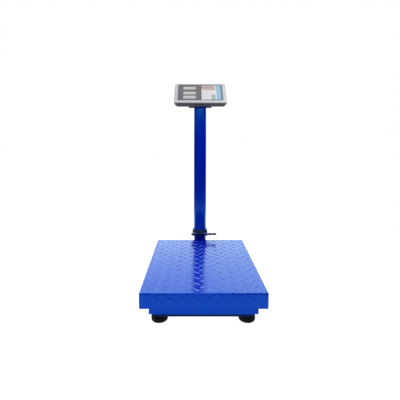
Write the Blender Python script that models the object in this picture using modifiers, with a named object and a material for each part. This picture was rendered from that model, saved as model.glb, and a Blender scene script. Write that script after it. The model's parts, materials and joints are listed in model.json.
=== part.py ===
"""Folding-column platform scale: deck on a load cell, levelling base, column that folds over the deck,
tilting indicator head. Metres, +Z up, the operator stands on the -Y side."""

import math

import bmesh
import bpy
from mathutils import Matrix, Vector

# Gap between touching pieces, play of a bolt in its hole, and a length past every through cut
GAP = 0.0003
BOLT_PLAY = 0.0005
THROUGH = 0.3

# Deck plate
DECK_WIDTH = 0.400
DECK_DEPTH = 0.500
DECK_TOP_Z = 0.110
DECK_SKIRT = 0.050
DECK_SHEET = 0.003
DECK_CORNER = 0.004

# Base frame
BASE_WIDTH = 0.340
BASE_DEPTH = 0.480
BASE_TOP_Z = 0.062
BASE_STEP_Z = 0.037
BASE_BOTTOM_Z = 0.0238
BASE_STEP = 0.009
BASE_SHEET = 0.003
BASE_FLANGE = 0.030
GUSSET_SIZE = 0.060
GUSSET_Z = 0.042
GUSSET_THICKNESS = 0.005
GUSSET_NUT_RADIUS = 0.0105
GUSSET_NUT_HEIGHT = 0.009

# Levelling feet
FOOT_X = 0.141
FOOT_Y = 0.203
PAD_RADIUS = 0.027
PAD_HEIGHT = 0.0225
PAD_ROUNDING = 0.004
STUD_RADIUS = 0.0059
STUD_SEAT_DEPTH = 0.010
STUD_TOP_Z = 0.0585
STUD_COLLAR_RADIUS = 0.0095
STUD_COLLAR_HEIGHT = 0.008

# Load cell and the carrier frame above it
CHANNEL_WIDTH = 0.090
CHANNEL_FLOOR_Z = 0.040
CHANNEL_HEIGHT = 0.018
CHANNEL_SHEET = 0.004
CHANNEL_NOTCH_WIDTH = 0.070
CHANNEL_NOTCH_DEPTH = 0.026
SPACER_THICKNESS = 0.005
CELL_LENGTH = 0.150
CELL_SIDE = 0.040
CELL_END = 0.040
CELL_REAR_Y = (CELL_LENGTH - CELL_END) / 2
CELL_FRONT_Y = -CELL_REAR_Y
CELL_EYE_Y = 0.019
CELL_EYE_RADIUS = 0.0135
CELL_SLOT_HEIGHT = 0.012
CELL_THREAD_DEPTH = 0.020
CELL_BOLT_RADIUS = 0.005
CELL_BOLT_HEAD_RADIUS = 0.008
CELL_BOLT_HEAD_HEIGHT = 0.006
CELL_BOLT_REACH = 0.018
CARRIER_TOP_Z = DECK_TOP_Z - DECK_SHEET - GAP
CARRIER_HEIGHT = 0.0125
CARRIER_WIDTH = 0.020
CARRIER_X = 0.140
CARRIER_LENGTH = 0.440
CARRIER_WALL = 0.002
CARRIER_CROSS_Y = 0.180
CARRIER_PLATE_DEPTH = 0.160
CARRIER_PLATE_THICKNESS = 0.006

# Column, its fold hinge and the post that carries it
TUBE_WIDTH = 0.057
TUBE_DEPTH = 0.050
TUBE_CORNER = 0.014
TUBE_WALL = 0.0025
TUBE_BACKSET = 0.0465
TUBE_TOP_Z = 0.7322
HINGE_Z = 0.134
HINGE_BACKSET = 0.0095
BARREL_RADIUS = 0.008
BARREL_SIDES = 24
BOLT_RADIUS = 0.004
BLOCK_WIDTH = 0.072
BLOCK_FRONT_BACKSET = 0.018
BLOCK_REAR_BACKSET = 0.0775
BLOCK_CORNER = 0.007
LOWER_BLOCK_BOTTOM_Z = 0.118
UPPER_BLOCK_TOP_Z = 0.150
CENTER_KNUCKLE = 0.036
SOCKET_FLOOR = 0.004
SHELF_TOP_Z = 0.059
SHELF_THICKNESS = 0.005
SHELF_WIDTH = 0.084
BRACKET_FOOT_Z = 0.030
BRACKET_WEB_SHEET = 0.004
BRACKET_BOLT_X = 0.022
BRACKET_BOLT_Z = 0.0445
BRACKET_BOLT_RADIUS = 0.004
BRACKET_BOLT_LENGTH = 0.022
BRACKET_BOLT_HEAD_RADIUS = 0.0072
BRACKET_BOLT_HEAD_HEIGHT = 0.005

# Locking lever
LEVER_PIVOT_X = 0.0445
LEVER_TIP_X = 0.079
LEVER_THICKNESS = 0.010
LEVER_CAM_RADIUS = 0.0072
LEVER_NECK_WIDTH = 0.0084
LEVER_TIP_RADIUS = 0.0062
EYE_THICKNESS = 0.0042
EYE_NECK_WIDTH = 0.0072
EYE_RADIUS = 0.006
PIN_RADIUS = 0.0022
CAP_NUT_RADIUS = 0.0075
CAP_NUT_HEIGHT = 0.0045
CAP_NUT_DOME = 0.003

# Head bracket and its tilt hinge
TILT_Z = 0.7582
EAR_OUTER_X = 0.0535
EAR_SHEET = 0.003
EAR_DEPTH = 0.032
BRACKET_PLATE = 0.003
PLUG_HEIGHT = 0.018
KNOB_RADIUS = 0.014
KNOB_LENGTH = 0.013
KNOB_LOBES = 6
KNOB_GROOVE_RADIUS = 0.0052
KNOB_STUD_RADIUS = 0.003
KNOB_STUD_TIP_X = 0.044
SCREW_X = 0.015
SCREW_RADIUS = 0.003
SCREW_HEAD_RADIUS = 0.0055
SCREW_HEAD_HEIGHT = 0.0024
SCREW_LENGTH = 0.013

# Indicator head; its own frame has x to the right, y up the panel and z out of the panel
PANEL_BOTTOM_Y = 0.235
PANEL_BOTTOM_Z = 0.7572
PANEL_LEAN = math.radians(43)
PANEL_WIDTH = 0.205
PANEL_HEIGHT = 0.1125
PANEL_SHEET = 0.002
BEZEL_WIDTH = 0.2344
BEZEL_BOTTOM = -0.017
BEZEL_TOP = 0.1187
BEZEL_FRONT = 0.002
BEZEL_BACK = -0.0015
BEZEL_CORNER = 0.005
SHELL_WIDTH = 0.236
SHELL_BOTTOM = -0.018
SHELL_TOP = 0.1195
SHELL_FRONT = -0.0018
SHELL_BACK = -0.0255
SHELL_WALL = 0.0025
SHELL_CORNER = 0.006
HUMP_HALF_WIDTH = EAR_OUTER_X - EAR_SHEET - GAP
HUMP_RADIUS = 0.0215
HUMP_TOP = 0.100
HUMP_SINK = 0.002
WINDOW_WIDTH = 0.057
WINDOW_HEIGHT = 0.0205
WINDOW_SINK = 0.0004
WINDOW_X = -0.0495
WINDOW_ROWS = (0.0898, 0.0538, 0.0245)
KEYPAD_X = 0.050
KEYPAD_WIDTH = 0.090
KEYPAD_HEIGHT = 0.1055
KEYPAD_THICKNESS = 0.0009
BOARD_WIDTH = 0.180
BOARD_HEIGHT = 0.096
BOARD_SHEET = 0.0016
BOARD_BACK = -0.0056
BATTERY_SIZE = (0.072, 0.025, 0.020)
COVER_SIZE = (0.064, 0.034, 0.002)
ROCKER_X = 0.086
ROCKER_Y = 0.060
ROCKER_REST = math.radians(7)
ROCKER_HALF_WIDTH = 0.0062
ROCKER_HALF_LENGTH = 0.0092
ROCKER_HOLE = (0.0130, 0.0204)
INLET_SIZE = (0.0274, 0.0194)
INLET_DEPTH = 0.010
INLET_RIM = 0.0025
INLET_PIN_PITCH = 0.0065
SOCKET_Y = 0.018
SOCKET_RADIUS = 0.008
SOCKET_BORE_RADIUS = 0.0058

HEAD_DEPTH_REACH = SHELL_TOP * math.sin(PANEL_LEAN) - SHELL_BACK * math.cos(PANEL_LEAN)
OBJECT_REAR = PANEL_BOTTOM_Y + HEAD_DEPTH_REACH
DECK_CENTER_Y = (DECK_DEPTH / 2 - OBJECT_REAR) / 2
DECK_REAR_Y = DECK_CENTER_Y + DECK_DEPTH / 2
TUBE_Y = DECK_REAR_Y + TUBE_BACKSET
HINGE_Y = DECK_REAR_Y + HINGE_BACKSET
BLOCK_FRONT_Y = DECK_REAR_Y + BLOCK_FRONT_BACKSET
BLOCK_REAR_Y = DECK_REAR_Y + BLOCK_REAR_BACKSET

for leftover in list(bpy.data.objects):
    bpy.data.objects.remove(leftover, do_unlink=True)

parts = bpy.data.collections.new("platform_scale")
bpy.context.scene.collection.children.link(parts)
cutters = bpy.data.collections.new("cutters")
bpy.context.scene.collection.children.link(cutters)


# Building blocks


def finish(name, color, roughness, metallic=0.0):
    """A plain Principled material."""
    material = bpy.data.materials.new(name)
    material.use_nodes = True
    shader = material.node_tree.nodes["Principled BSDF"]
    shader.inputs["Base Color"].default_value = (*color, 1.0)
    shader.inputs["Roughness"].default_value = roughness
    shader.inputs["Metallic"].default_value = metallic
    return material


def pivot(name, location, parent=None, turn_x=0.0):
    """An empty that stands on a joint axis or carries a tilted frame."""
    empty = bpy.data.objects.new(name, None)
    empty.parent = parent
    empty.location = location
    empty.rotation_euler.x = turn_x
    parts.objects.link(empty)
    return empty


def add_part(name, mesh, material, location=(0, 0, 0), parent=None):
    """One named sub-part."""
    part = bpy.data.objects.new(name, mesh)
    part.data.materials.append(material)
    part.parent = parent
    part.location = location
    parts.objects.link(part)
    return part


def shape_with(part, mesh, operation, location=(0, 0, 0)):
    """Cuts a tool shape from a part, or joins it on; location is in the part's own frame."""
    tool = bpy.data.objects.new(part.name + "_tool", mesh)
    tool.parent = part
    tool.location = location
    tool.hide_render = True
    tool.display_type = "WIRE"
    cutters.objects.link(tool)
    change = part.modifiers.new(operation.lower(), "BOOLEAN")
    change.operation = operation
    change.solver = "EXACT"
    change.object = tool


def cut(part, mesh, location=(0, 0, 0)):
    shape_with(part, mesh, "DIFFERENCE", location)


def join(part, mesh, location=(0, 0, 0)):
    shape_with(part, mesh, "UNION", location)


def mesh_from(shape, name):
    bmesh.ops.recalc_face_normals(shape, faces=shape.faces)
    mesh = bpy.data.meshes.new(name)
    shape.to_mesh(mesh)
    shape.free()
    return mesh


def box_mesh(low, high, corner=0.0, segments=1, corner_axis=None):
    """A box between two corners. corner rounds all its edges, or only those along corner_axis."""
    shape = bmesh.new()
    size = Vector(high) - Vector(low)
    center = (Vector(high) + Vector(low)) / 2
    bmesh.ops.create_cube(shape, size=1.0, matrix=Matrix.Translation(center) @ Matrix.Diagonal((*size, 1)))
    if corner:
        edges = [
            edge
            for edge in shape.edges
            if corner_axis is None
            or abs((edge.verts[0].co - edge.verts[1].co)[corner_axis]) > size[corner_axis] / 2
        ]
        bmesh.ops.bevel(shape, geom=edges, offset=corner, segments=segments, profile=0.5, affect="EDGES")
    return mesh_from(shape, "box")


def rod_mesh(radius, start, end, axis, sides=20, end_radius=None):
    """A cylinder or cone along axis 0, 1 or 2 from start to end, centred on that axis."""
    shape = bmesh.new()
    turns = (
        Matrix.Rotation(math.pi / 2, 4, "Y"),
        Matrix.Rotation(-math.pi / 2, 4, "X"),
        Matrix.Identity(4),
    )
    middle = Vector((0, 0, 0))
    middle[axis] = (start + end) / 2
    bmesh.ops.create_cone(
        shape,
        cap_ends=True,
        segments=sides,
        radius1=radius,
        radius2=radius if end_radius is None else end_radius,
        depth=end - start,
        matrix=Matrix.Translation(middle) @ turns[axis],
    )
    mesh = mesh_from(shape, "rod")
    mesh.shade_smooth()
    mesh.set_sharp_from_angle(angle=math.radians(35))
    return mesh


def outline_mesh(points, half_length, axis):
    """A flat outline thickened both ways along an axis; points are (y, z) for axis 0, (x, z) for axis 1."""
    curve = bpy.data.curves.new("outline", "CURVE")
    curve.dimensions = "2D"
    curve.fill_mode = "BOTH"
    curve.extrude = half_length
    spline = curve.splines.new("POLY")
    spline.points.add(len(points) - 1)
    for point, (across, up) in zip(spline.points, points):
        point.co = (across, up, 0, 1)
    spline.use_cyclic_u = True
    guide = bpy.data.objects.new("outline", curve)
    cutters.objects.link(guide)
    evaluated = guide.evaluated_get(bpy.context.evaluated_depsgraph_get())
    mesh = bpy.data.meshes.new_from_object(evaluated)
    bpy.data.objects.remove(guide, do_unlink=True)
    stand = Matrix.Rotation(math.pi / 2, 4, "X")
    if axis == 0:
        stand = Matrix.Rotation(math.pi / 2, 4, "Z") @ stand
    mesh.transform(stand)
    shape = bmesh.new()
    shape.from_mesh(mesh)
    bpy.data.meshes.remove(mesh)
    bmesh.ops.remove_doubles(shape, verts=shape.verts, dist=0.00001)
    return mesh_from(shape, "outline")


def arc_points(center, radius, start_deg, end_deg, count):
    """Points along an arc in the outline's plane."""
    turns = [math.radians(start_deg + (end_deg - start_deg) * i / (count - 1)) for i in range(count)]
    return [(center[0] + radius * math.cos(a), center[1] + radius * math.sin(a)) for a in turns]


# Finishes

blue_paint = finish("blue_paint", (0.004, 0.035, 0.45), 0.3)
dark_casting = finish("dark_casting", (0.012, 0.014, 0.04), 0.4)
chrome = finish("chrome", (0.75, 0.76, 0.78), 0.12, 1.0)
zinc = finish("zinc", (0.55, 0.56, 0.58), 0.35, 1.0)
aluminium = finish("aluminium", (0.62, 0.63, 0.65), 0.4, 1.0)
black_rubber = finish("black_rubber", (0.012, 0.012, 0.013), 0.75)
black_plastic = finish("black_plastic", (0.02, 0.021, 0.026), 0.45)
silver_plastic = finish("silver_plastic", (0.56, 0.56, 0.56), 0.35)
panel_film = finish("panel_film", (0.11, 0.108, 0.12), 0.3)
display_glass = finish("display_glass", (0.5, 0.5, 0.51), 0.15)
keypad_film = finish("keypad_film", (0.7, 0.69, 0.68), 0.4)
board_green = finish("board_green", (0.02, 0.16, 0.06), 0.5)
battery_wrap = finish("battery_wrap", (0.05, 0.06, 0.08), 0.5)


# Base frame: four pressed members mitred at the corners


def base_section():
    """Outer web with a step near its foot and an inward top flange, as (inset from outside, height)."""
    return [
        (0, BASE_TOP_Z),
        (BASE_FLANGE, BASE_TOP_Z),
        (BASE_FLANGE, BASE_TOP_Z - BASE_SHEET),
        (BASE_SHEET, BASE_TOP_Z - BASE_SHEET),
        (BASE_SHEET, BASE_STEP_Z + BASE_SHEET),
        (BASE_STEP + BASE_SHEET, BASE_STEP_Z + BASE_SHEET),
        (BASE_STEP + BASE_SHEET, BASE_BOTTOM_Z),
        (BASE_STEP, BASE_BOTTOM_Z),
        (BASE_STEP, BASE_STEP_Z),
        (0, BASE_STEP_Z),
    ]


def base_member(name, side, outer, half_length):
    """One member along X (side front or rear) or along Y (side left or right), mitred at both ends."""
    sign = -1 if side in ("front", "left") else 1
    along = 0 if side in ("front", "rear") else 1
    points = [(sign * (outer - inset), height) for inset, height in base_section()]
    mesh = outline_mesh(points, half_length, along)
    for vertex in mesh.vertices:
        inset = outer - abs(vertex.co[1 - along])
        end = half_length - inset - GAP * 0.75
        vertex.co[along] = math.copysign(end, vertex.co[along])
    return add_part(name, mesh, blue_paint, (0, DECK_CENTER_Y, 0))


front_beam = base_member("base_beam_front", "front", BASE_DEPTH / 2, BASE_WIDTH / 2)
rear_beam = base_member("base_beam_rear", "rear", BASE_DEPTH / 2, BASE_WIDTH / 2)
base_member("base_rail_left", "left", BASE_WIDTH / 2, BASE_DEPTH / 2)
base_member("base_rail_right", "right", BASE_WIDTH / 2, BASE_DEPTH / 2)
for x in (-BRACKET_BOLT_X, BRACKET_BOLT_X):
    hole = rod_mesh(BRACKET_BOLT_RADIUS + BOLT_PLAY, BASE_DEPTH / 2 - 0.015, BASE_DEPTH / 2 + 0.005, 1)
    cut(rear_beam, hole, (x, 0, BRACKET_BOLT_Z))


def center_channel():
    """Upturned channel from the front beam to the rear beam that carries the load cell."""
    half = BASE_DEPTH / 2 - BASE_SHEET - GAP
    low = (-CHANNEL_WIDTH / 2, -half, CHANNEL_FLOOR_Z)
    high = (CHANNEL_WIDTH / 2, half, CHANNEL_FLOOR_Z + CHANNEL_HEIGHT)
    channel = add_part("base_center_channel", box_mesh(low, high), blue_paint, (0, DECK_CENTER_Y, 0))
    inner = CHANNEL_WIDTH / 2 - CHANNEL_SHEET
    cut(channel, box_mesh((-inner, -THROUGH, low[2] + CHANNEL_SHEET), (inner, THROUGH, THROUGH)))
    cut(channel, rod_mesh(CELL_BOLT_RADIUS + BOLT_PLAY, 0, THROUGH, 2), (0, CELL_REAR_Y, 0))
    notch = CHANNEL_NOTCH_WIDTH / 2
    cut(channel, box_mesh((-notch, half - CHANNEL_NOTCH_DEPTH, 0), (notch, THROUGH, THROUGH)))


center_channel()


def corner_gusset(name, sign_x, sign_y):
    """Square plate with a welded nut that takes a foot's stud."""
    outer_x = BASE_WIDTH / 2 - BASE_SHEET - GAP
    outer_y = BASE_DEPTH / 2 - BASE_SHEET - GAP
    corner_x = sorted((sign_x * outer_x, sign_x * (outer_x - GUSSET_SIZE)))
    corner_y = sorted((sign_y * outer_y, sign_y * (outer_y - GUSSET_SIZE)))
    top = GUSSET_Z + GUSSET_THICKNESS
    plate = box_mesh((corner_x[0], corner_y[0], GUSSET_Z), (corner_x[1], corner_y[1], top))
    gusset = add_part(name, plate, blue_paint, (0, DECK_CENTER_Y, 0))
    foot = (sign_x * FOOT_X, sign_y * FOOT_Y, 0)
    join(gusset, rod_mesh(GUSSET_NUT_RADIUS, GUSSET_Z + GAP, top + GUSSET_NUT_HEIGHT, 2, sides=6), foot)
    cut(gusset, rod_mesh(STUD_RADIUS + GAP, 0, THROUGH, 2), foot)


def levelling_foot(corner, sign_x, sign_y):
    """Rubber pad with a hexagon-collared stud screwed up into the gusset's nut."""
    place = (sign_x * FOOT_X, DECK_CENTER_Y + sign_y * FOOT_Y, 0)
    spin = pivot("foot_axis_" + corner, place)
    edge = PAD_ROUNDING
    profile = [(0, PAD_HEIGHT), (PAD_RADIUS - 2 * edge, PAD_HEIGHT)]
    profile += [(PAD_RADIUS - 0.7 * edge, PAD_HEIGHT - 0.7 * edge), (PAD_RADIUS, PAD_HEIGHT - 2 * edge)]
    profile += [(PAD_RADIUS, edge), (PAD_RADIUS - 0.3 * edge, 0.3 * edge), (PAD_RADIUS - edge, 0), (0, 0)]
    curve = bpy.data.meshes.new("pad_profile")
    points = [(radius, 0, height) for radius, height in profile]
    curve.from_pydata(points, [(i, i + 1) for i in range(len(points) - 1)], [])
    pad = add_part("foot_pad_" + corner, curve, black_rubber, parent=spin)
    turned = pad.modifiers.new("turned", "SCREW")
    turned.axis = "Z"
    turned.steps = 28
    turned.render_steps = 28
    turned.use_merge_vertices = True
    turned.merge_threshold = 0.00001
    turned.use_smooth_shade = True
    seat_z = PAD_HEIGHT - STUD_SEAT_DEPTH
    cut(pad, rod_mesh(STUD_RADIUS + GAP, seat_z, PAD_HEIGHT + GAP, 2))
    stud = rod_mesh(STUD_RADIUS, seat_z + GAP, STUD_TOP_Z, 2)
    stud = add_part("foot_stud_" + corner, stud, zinc, parent=spin)
    join(stud, rod_mesh(STUD_COLLAR_RADIUS, PAD_HEIGHT + GAP, PAD_HEIGHT + STUD_COLLAR_HEIGHT, 2, sides=6))


for corner, sign_x, sign_y in (("fl", -1, -1), ("fr", 1, -1), ("rl", -1, 1), ("rr", 1, 1)):
    corner_gusset("foot_gusset_" + corner, sign_x, sign_y)
    levelling_foot(corner, sign_x, sign_y)


# Load cell stack


def load_cell():
    """Bending-beam cell with its linked round cut-outs, spacers and one bolt at each end."""
    floor_z = CHANNEL_FLOOR_Z + CHANNEL_SHEET + GAP
    cell_z = floor_z + SPACER_THICKNESS + GAP
    top_z = cell_z + CELL_SIDE
    half = CELL_SIDE / 2
    place = (0, DECK_CENTER_Y, 0)
    cell = box_mesh((-half, -CELL_LENGTH / 2, cell_z), (half, CELL_LENGTH / 2, top_z), 0.001)
    cell = add_part("load_cell", cell, aluminium, place)
    for y in (-CELL_EYE_Y, CELL_EYE_Y):
        cut(cell, rod_mesh(CELL_EYE_RADIUS, -THROUGH, THROUGH, 0, sides=24), (0, y, cell_z + half))
    slot = CELL_SLOT_HEIGHT / 2
    link = box_mesh((-THROUGH, -CELL_EYE_Y, -slot), (THROUGH, CELL_EYE_Y, slot))
    cut(cell, link, (0, 0, cell_z + half))
    hole = CELL_BOLT_RADIUS + BOLT_PLAY
    cut(cell, rod_mesh(hole, 0, cell_z + CELL_THREAD_DEPTH, 2), (0, CELL_REAR_Y, 0))
    cut(cell, rod_mesh(hole, top_z - CELL_THREAD_DEPTH, THROUGH, 2), (0, CELL_FRONT_Y, 0))
    spacer_half = CELL_END / 2 - 0.002
    for name, y, bottom, top in (
        ("cell_spacer_lower", CELL_REAR_Y, floor_z, floor_z + SPACER_THICKNESS),
        ("cell_spacer_upper", CELL_FRONT_Y, top_z + GAP, CARRIER_TOP_Z - CARRIER_PLATE_THICKNESS - GAP),
    ):
        plate = box_mesh((-half, y - spacer_half, bottom), (half, y + spacer_half, top))
        spacer = add_part(name, plate, zinc, place)
        cut(spacer, rod_mesh(hole, 0, THROUGH, 2), (0, y, 0))
    head_top = CHANNEL_FLOOR_Z - GAP
    bolt = rod_mesh(CELL_BOLT_RADIUS, head_top - 0.001, cell_z + CELL_BOLT_REACH, 2)
    bolt = add_part("cell_bolt_lower", bolt, zinc, (0, DECK_CENTER_Y + CELL_REAR_Y, 0))
    join(bolt, rod_mesh(CELL_BOLT_HEAD_RADIUS, head_top - CELL_BOLT_HEAD_HEIGHT, head_top, 2, sides=6))
    bolt = rod_mesh(CELL_BOLT_RADIUS, top_z - CELL_BOLT_REACH, CARRIER_TOP_Z - GAP, 2)
    add_part("cell_bolt_upper", bolt, zinc, (0, DECK_CENTER_Y + CELL_FRONT_Y, 0))


def carrier_frame():
    """Rails, cross members and centre plate that spread the cell's reaction under the deck plate."""
    place = (0, DECK_CENTER_Y, 0)
    bottom = CARRIER_TOP_Z - CARRIER_HEIGHT
    half = CARRIER_WIDTH / 2
    wall = CARRIER_WALL
    for name, sign in (("carrier_rail_left", -1), ("carrier_rail_right", 1)):
        low = (sign * CARRIER_X - half, -CARRIER_LENGTH / 2, bottom)
        high = (sign * CARRIER_X + half, CARRIER_LENGTH / 2, CARRIER_TOP_Z)
        rail = add_part(name, box_mesh(low, high), blue_paint, place)
        bore_low = (low[0] + wall, -CARRIER_LENGTH, low[2] + wall)
        cut(rail, box_mesh(bore_low, (high[0] - wall, CARRIER_LENGTH, high[2] - wall)))
    reach = CARRIER_X - half - GAP
    for name, y in (("carrier_cross_front", -CARRIER_CROSS_Y), ("carrier_cross_rear", CARRIER_CROSS_Y)):
        mesh = box_mesh((-reach, y - half, bottom), (reach, y + half, CARRIER_TOP_Z))
        add_part(name, mesh, blue_paint, place)
    plate_y = CARRIER_PLATE_DEPTH / 2
    plate_low = (-reach, -plate_y, CARRIER_TOP_Z - CARRIER_PLATE_THICKNESS)
    plate = box_mesh(plate_low, (reach, plate_y, CARRIER_TOP_Z))
    plate = add_part("carrier_center_plate", plate, blue_paint, place)
    cut(plate, rod_mesh(CELL_BOLT_RADIUS + BOLT_PLAY, 0, THROUGH, 2), (0, CELL_FRONT_Y, 0))


def deck_plate():
    """Folded steel tray, open below."""
    half_x, half_y = DECK_WIDTH / 2, DECK_DEPTH / 2
    bottom = DECK_TOP_Z - DECK_SKIRT
    shape = box_mesh((-half_x, -half_y, bottom), (half_x, half_y, DECK_TOP_Z), DECK_CORNER, 3, 2)
    deck = add_part("deck_plate", shape, blue_paint, (0, DECK_CENTER_Y, 0))
    inner_x, inner_y = half_x - DECK_SHEET, half_y - DECK_SHEET
    cut(deck, box_mesh((-inner_x, -inner_y, 0), (inner_x, inner_y, DECK_TOP_Z - DECK_SHEET)))


load_cell()
carrier_frame()
deck_plate()


# Rear bracket, stub post and lower hinge block


def column_bracket():
    """Flange on the rear beam, shelf under the stub post and two webs below the shelf."""
    flange_y = DECK_CENTER_Y + BASE_DEPTH / 2 + GAP
    flange_rear = flange_y + SHELF_THICKNESS
    half = SHELF_WIDTH / 2
    shelf_bottom = SHELF_TOP_Z - SHELF_THICKNESS
    mesh = box_mesh((-half, flange_y, BRACKET_FOOT_Z), (half, flange_rear, SHELF_TOP_Z))
    bracket = add_part("column_bracket", mesh, blue_paint)
    join(bracket, box_mesh((-half, flange_y, shelf_bottom), (half, BLOCK_REAR_Y, SHELF_TOP_Z)))
    lap = 0.001
    web_rear = BLOCK_REAR_Y - 0.006
    web_tip = shelf_bottom - 0.004
    web = [(flange_rear - lap, shelf_bottom + lap), (web_rear, shelf_bottom + lap), (web_rear, web_tip)]
    web.append((flange_rear - lap, BRACKET_FOOT_Z + 2 * lap))
    web_half = BRACKET_WEB_SHEET / 2
    for sign in (-1, 1):
        join(bracket, outline_mesh(web, web_half, 0), (sign * (half - web_half - lap / 2), 0, 0))
        hole = rod_mesh(BRACKET_BOLT_RADIUS + BOLT_PLAY, 0, THROUGH, 1)
        cut(bracket, hole, (sign * BRACKET_BOLT_X, 0, BRACKET_BOLT_Z))
    for name, sign in (("bracket_bolt_left", -1), ("bracket_bolt_right", 1)):
        place = (sign * BRACKET_BOLT_X, flange_rear + GAP, BRACKET_BOLT_Z)
        bolt = rod_mesh(BRACKET_BOLT_RADIUS, -BRACKET_BOLT_LENGTH, BRACKET_BOLT_HEAD_HEIGHT - lap, 1)
        bolt = add_part(name, bolt, zinc, place)
        join(bolt, rod_mesh(BRACKET_BOLT_HEAD_RADIUS, 0, BRACKET_BOLT_HEAD_HEIGHT, 1, sides=6))


def rounded_tube(name, bottom, top, floor=None, parent=None):
    """Rounded square tube, open right through."""
    half_x, half_y = TUBE_WIDTH / 2, TUBE_DEPTH / 2
    mesh = box_mesh((-half_x, -half_y, bottom), (half_x, half_y, top), TUBE_CORNER, 6, 2)
    tube = add_part(name, mesh, blue_paint, parent=parent)
    inner_x, inner_y = half_x - TUBE_WALL, half_y - TUBE_WALL
    bore_corner = TUBE_CORNER - TUBE_WALL
    cut(tube, box_mesh((-inner_x, -inner_y, bottom - GAP), (inner_x, inner_y, top + GAP), bore_corner, 6, 2))
    return tube


def knuckle(block, start, end, up, center_y, center_z):
    """A barrel with its web back to the block; up is 1 for a block above the hinge and -1 below it."""
    place = ((start + end) / 2, center_y, center_z)
    half = (end - start) / 2
    join(block, rod_mesh(BARREL_RADIUS, -half, half, 0, sides=BARREL_SIDES), place)
    web_z = sorted((up * GAP, up * BARREL_RADIUS))
    reach = BLOCK_FRONT_BACKSET - HINGE_BACKSET + 0.002
    join(block, box_mesh((-half, 0, web_z[0]), (half, reach, web_z[1])), place)


def tube_socket(bottom, top):
    """Cutter for the seat of a tube's end."""
    half_x, half_y = TUBE_WIDTH / 2 + GAP, TUBE_DEPTH / 2 + GAP
    return box_mesh((-half_x, -half_y, bottom), (half_x, half_y, top), TUBE_CORNER + GAP, 6, 2)


def lower_hinge_block():
    """Dark block on the stub post, with the two outer knuckles."""
    half = BLOCK_WIDTH / 2
    top = HINGE_Z - GAP
    low = (-half, BLOCK_FRONT_Y, LOWER_BLOCK_BOTTOM_Z)
    mesh = box_mesh(low, (half, BLOCK_REAR_Y, top), BLOCK_CORNER, 4, 2)
    block = add_part("lower_hinge_block", mesh, dark_casting)
    inner = CENTER_KNUCKLE / 2 + GAP
    knuckle(block, -half, -inner, -1, HINGE_Y, HINGE_Z)
    knuckle(block, inner, half, -1, HINGE_Y, HINGE_Z)
    cut(block, tube_socket(0, top - SOCKET_FLOOR), (0, TUBE_Y, 0))
    bore = rod_mesh(BOLT_RADIUS + GAP, -THROUGH, THROUGH, 0, sides=BARREL_SIDES)
    cut(block, bore, (0, HINGE_Y, HINGE_Z))


column_bracket()
stub = rounded_tube("stub_post", SHELF_TOP_Z + GAP, HINGE_Z - SOCKET_FLOOR - 2 * GAP)
stub.location.y = TUBE_Y
lower_hinge_block()


# Hinge bolt, cap nut, lever pin and locking lever


def hinge_bolt():
    """Chrome skewer with a flat eye on its right end, and a domed nut on its left."""
    half = BLOCK_WIDTH / 2
    nut_end = -half - CAP_NUT_HEIGHT
    mesh = rod_mesh(BOLT_RADIUS, nut_end - 0.0005, half + 2 * GAP, 0, sides=BARREL_SIDES)
    bolt = add_part("hinge_bolt", mesh, chrome, (0, HINGE_Y, HINGE_Z))
    flat = EYE_THICKNESS / 2
    neck = EYE_NECK_WIDTH / 2
    join(bolt, box_mesh((half - 0.002, -neck, -flat), (LEVER_PIVOT_X, neck, flat)))
    join(bolt, rod_mesh(EYE_RADIUS, -flat, flat, 2, sides=24), (LEVER_PIVOT_X, 0, 0))
    cut(bolt, rod_mesh(PIN_RADIUS + GAP, -THROUGH, THROUGH, 2), (LEVER_PIVOT_X, 0, 0))
    nut = rod_mesh(CAP_NUT_RADIUS, nut_end, -half - GAP, 0, sides=6)
    nut = add_part("hinge_nut", nut, chrome, (0, HINGE_Y, HINGE_Z))
    dome_tip, dome_foot = CAP_NUT_RADIUS - 0.004, CAP_NUT_RADIUS - 0.0009
    join(nut, rod_mesh(dome_tip, nut_end - CAP_NUT_DOME, nut_end + 0.0005, 0, end_radius=dome_foot))
    cut(nut, rod_mesh(BOLT_RADIUS + GAP, nut_end - 0.001, 0, 0))
    cheek_top = LEVER_THICKNESS / 2 + 0.0009
    pin = rod_mesh(PIN_RADIUS, -cheek_top, cheek_top, 2)
    add_part("lever_pin", pin, chrome, (LEVER_PIVOT_X, HINGE_Y, HINGE_Z))


def lock_lever():
    """Cam lever: two cheeks round the bolt's eye and an arm that thickens to a round end."""
    swing = pivot("lever_axis", (LEVER_PIVOT_X, HINGE_Y, HINGE_Z))
    half = LEVER_THICKNESS / 2
    ball_x = LEVER_TIP_X - LEVER_PIVOT_X - LEVER_TIP_RADIUS
    mesh = rod_mesh(LEVER_CAM_RADIUS, -half, half, 2, sides=24)
    lever = add_part("lock_lever", mesh, black_plastic, parent=swing)
    neck = LEVER_NECK_WIDTH / 2
    join(lever, box_mesh((0.002, -neck, -half), (ball_x, neck, half), 0.0015, 2, 0))
    join(lever, rod_mesh(neck, 0.014, ball_x + 0.001, 0, sides=20, end_radius=LEVER_TIP_RADIUS - 0.0002))
    shape = bmesh.new()
    bmesh.ops.create_uvsphere(shape, u_segments=20, v_segments=12, radius=LEVER_TIP_RADIUS)
    ball = mesh_from(shape, "ball")
    ball.shade_smooth()
    join(lever, ball, (ball_x, 0, 0))
    slot = EYE_THICKNESS / 2 + GAP
    cut(lever, box_mesh((-THROUGH, -THROUGH, -slot), (EYE_RADIUS + 0.0008, THROUGH, slot)))
    cut(lever, rod_mesh(PIN_RADIUS + GAP, -THROUGH, THROUGH, 2))


hinge_bolt()
lock_lever()


# Column


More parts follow.
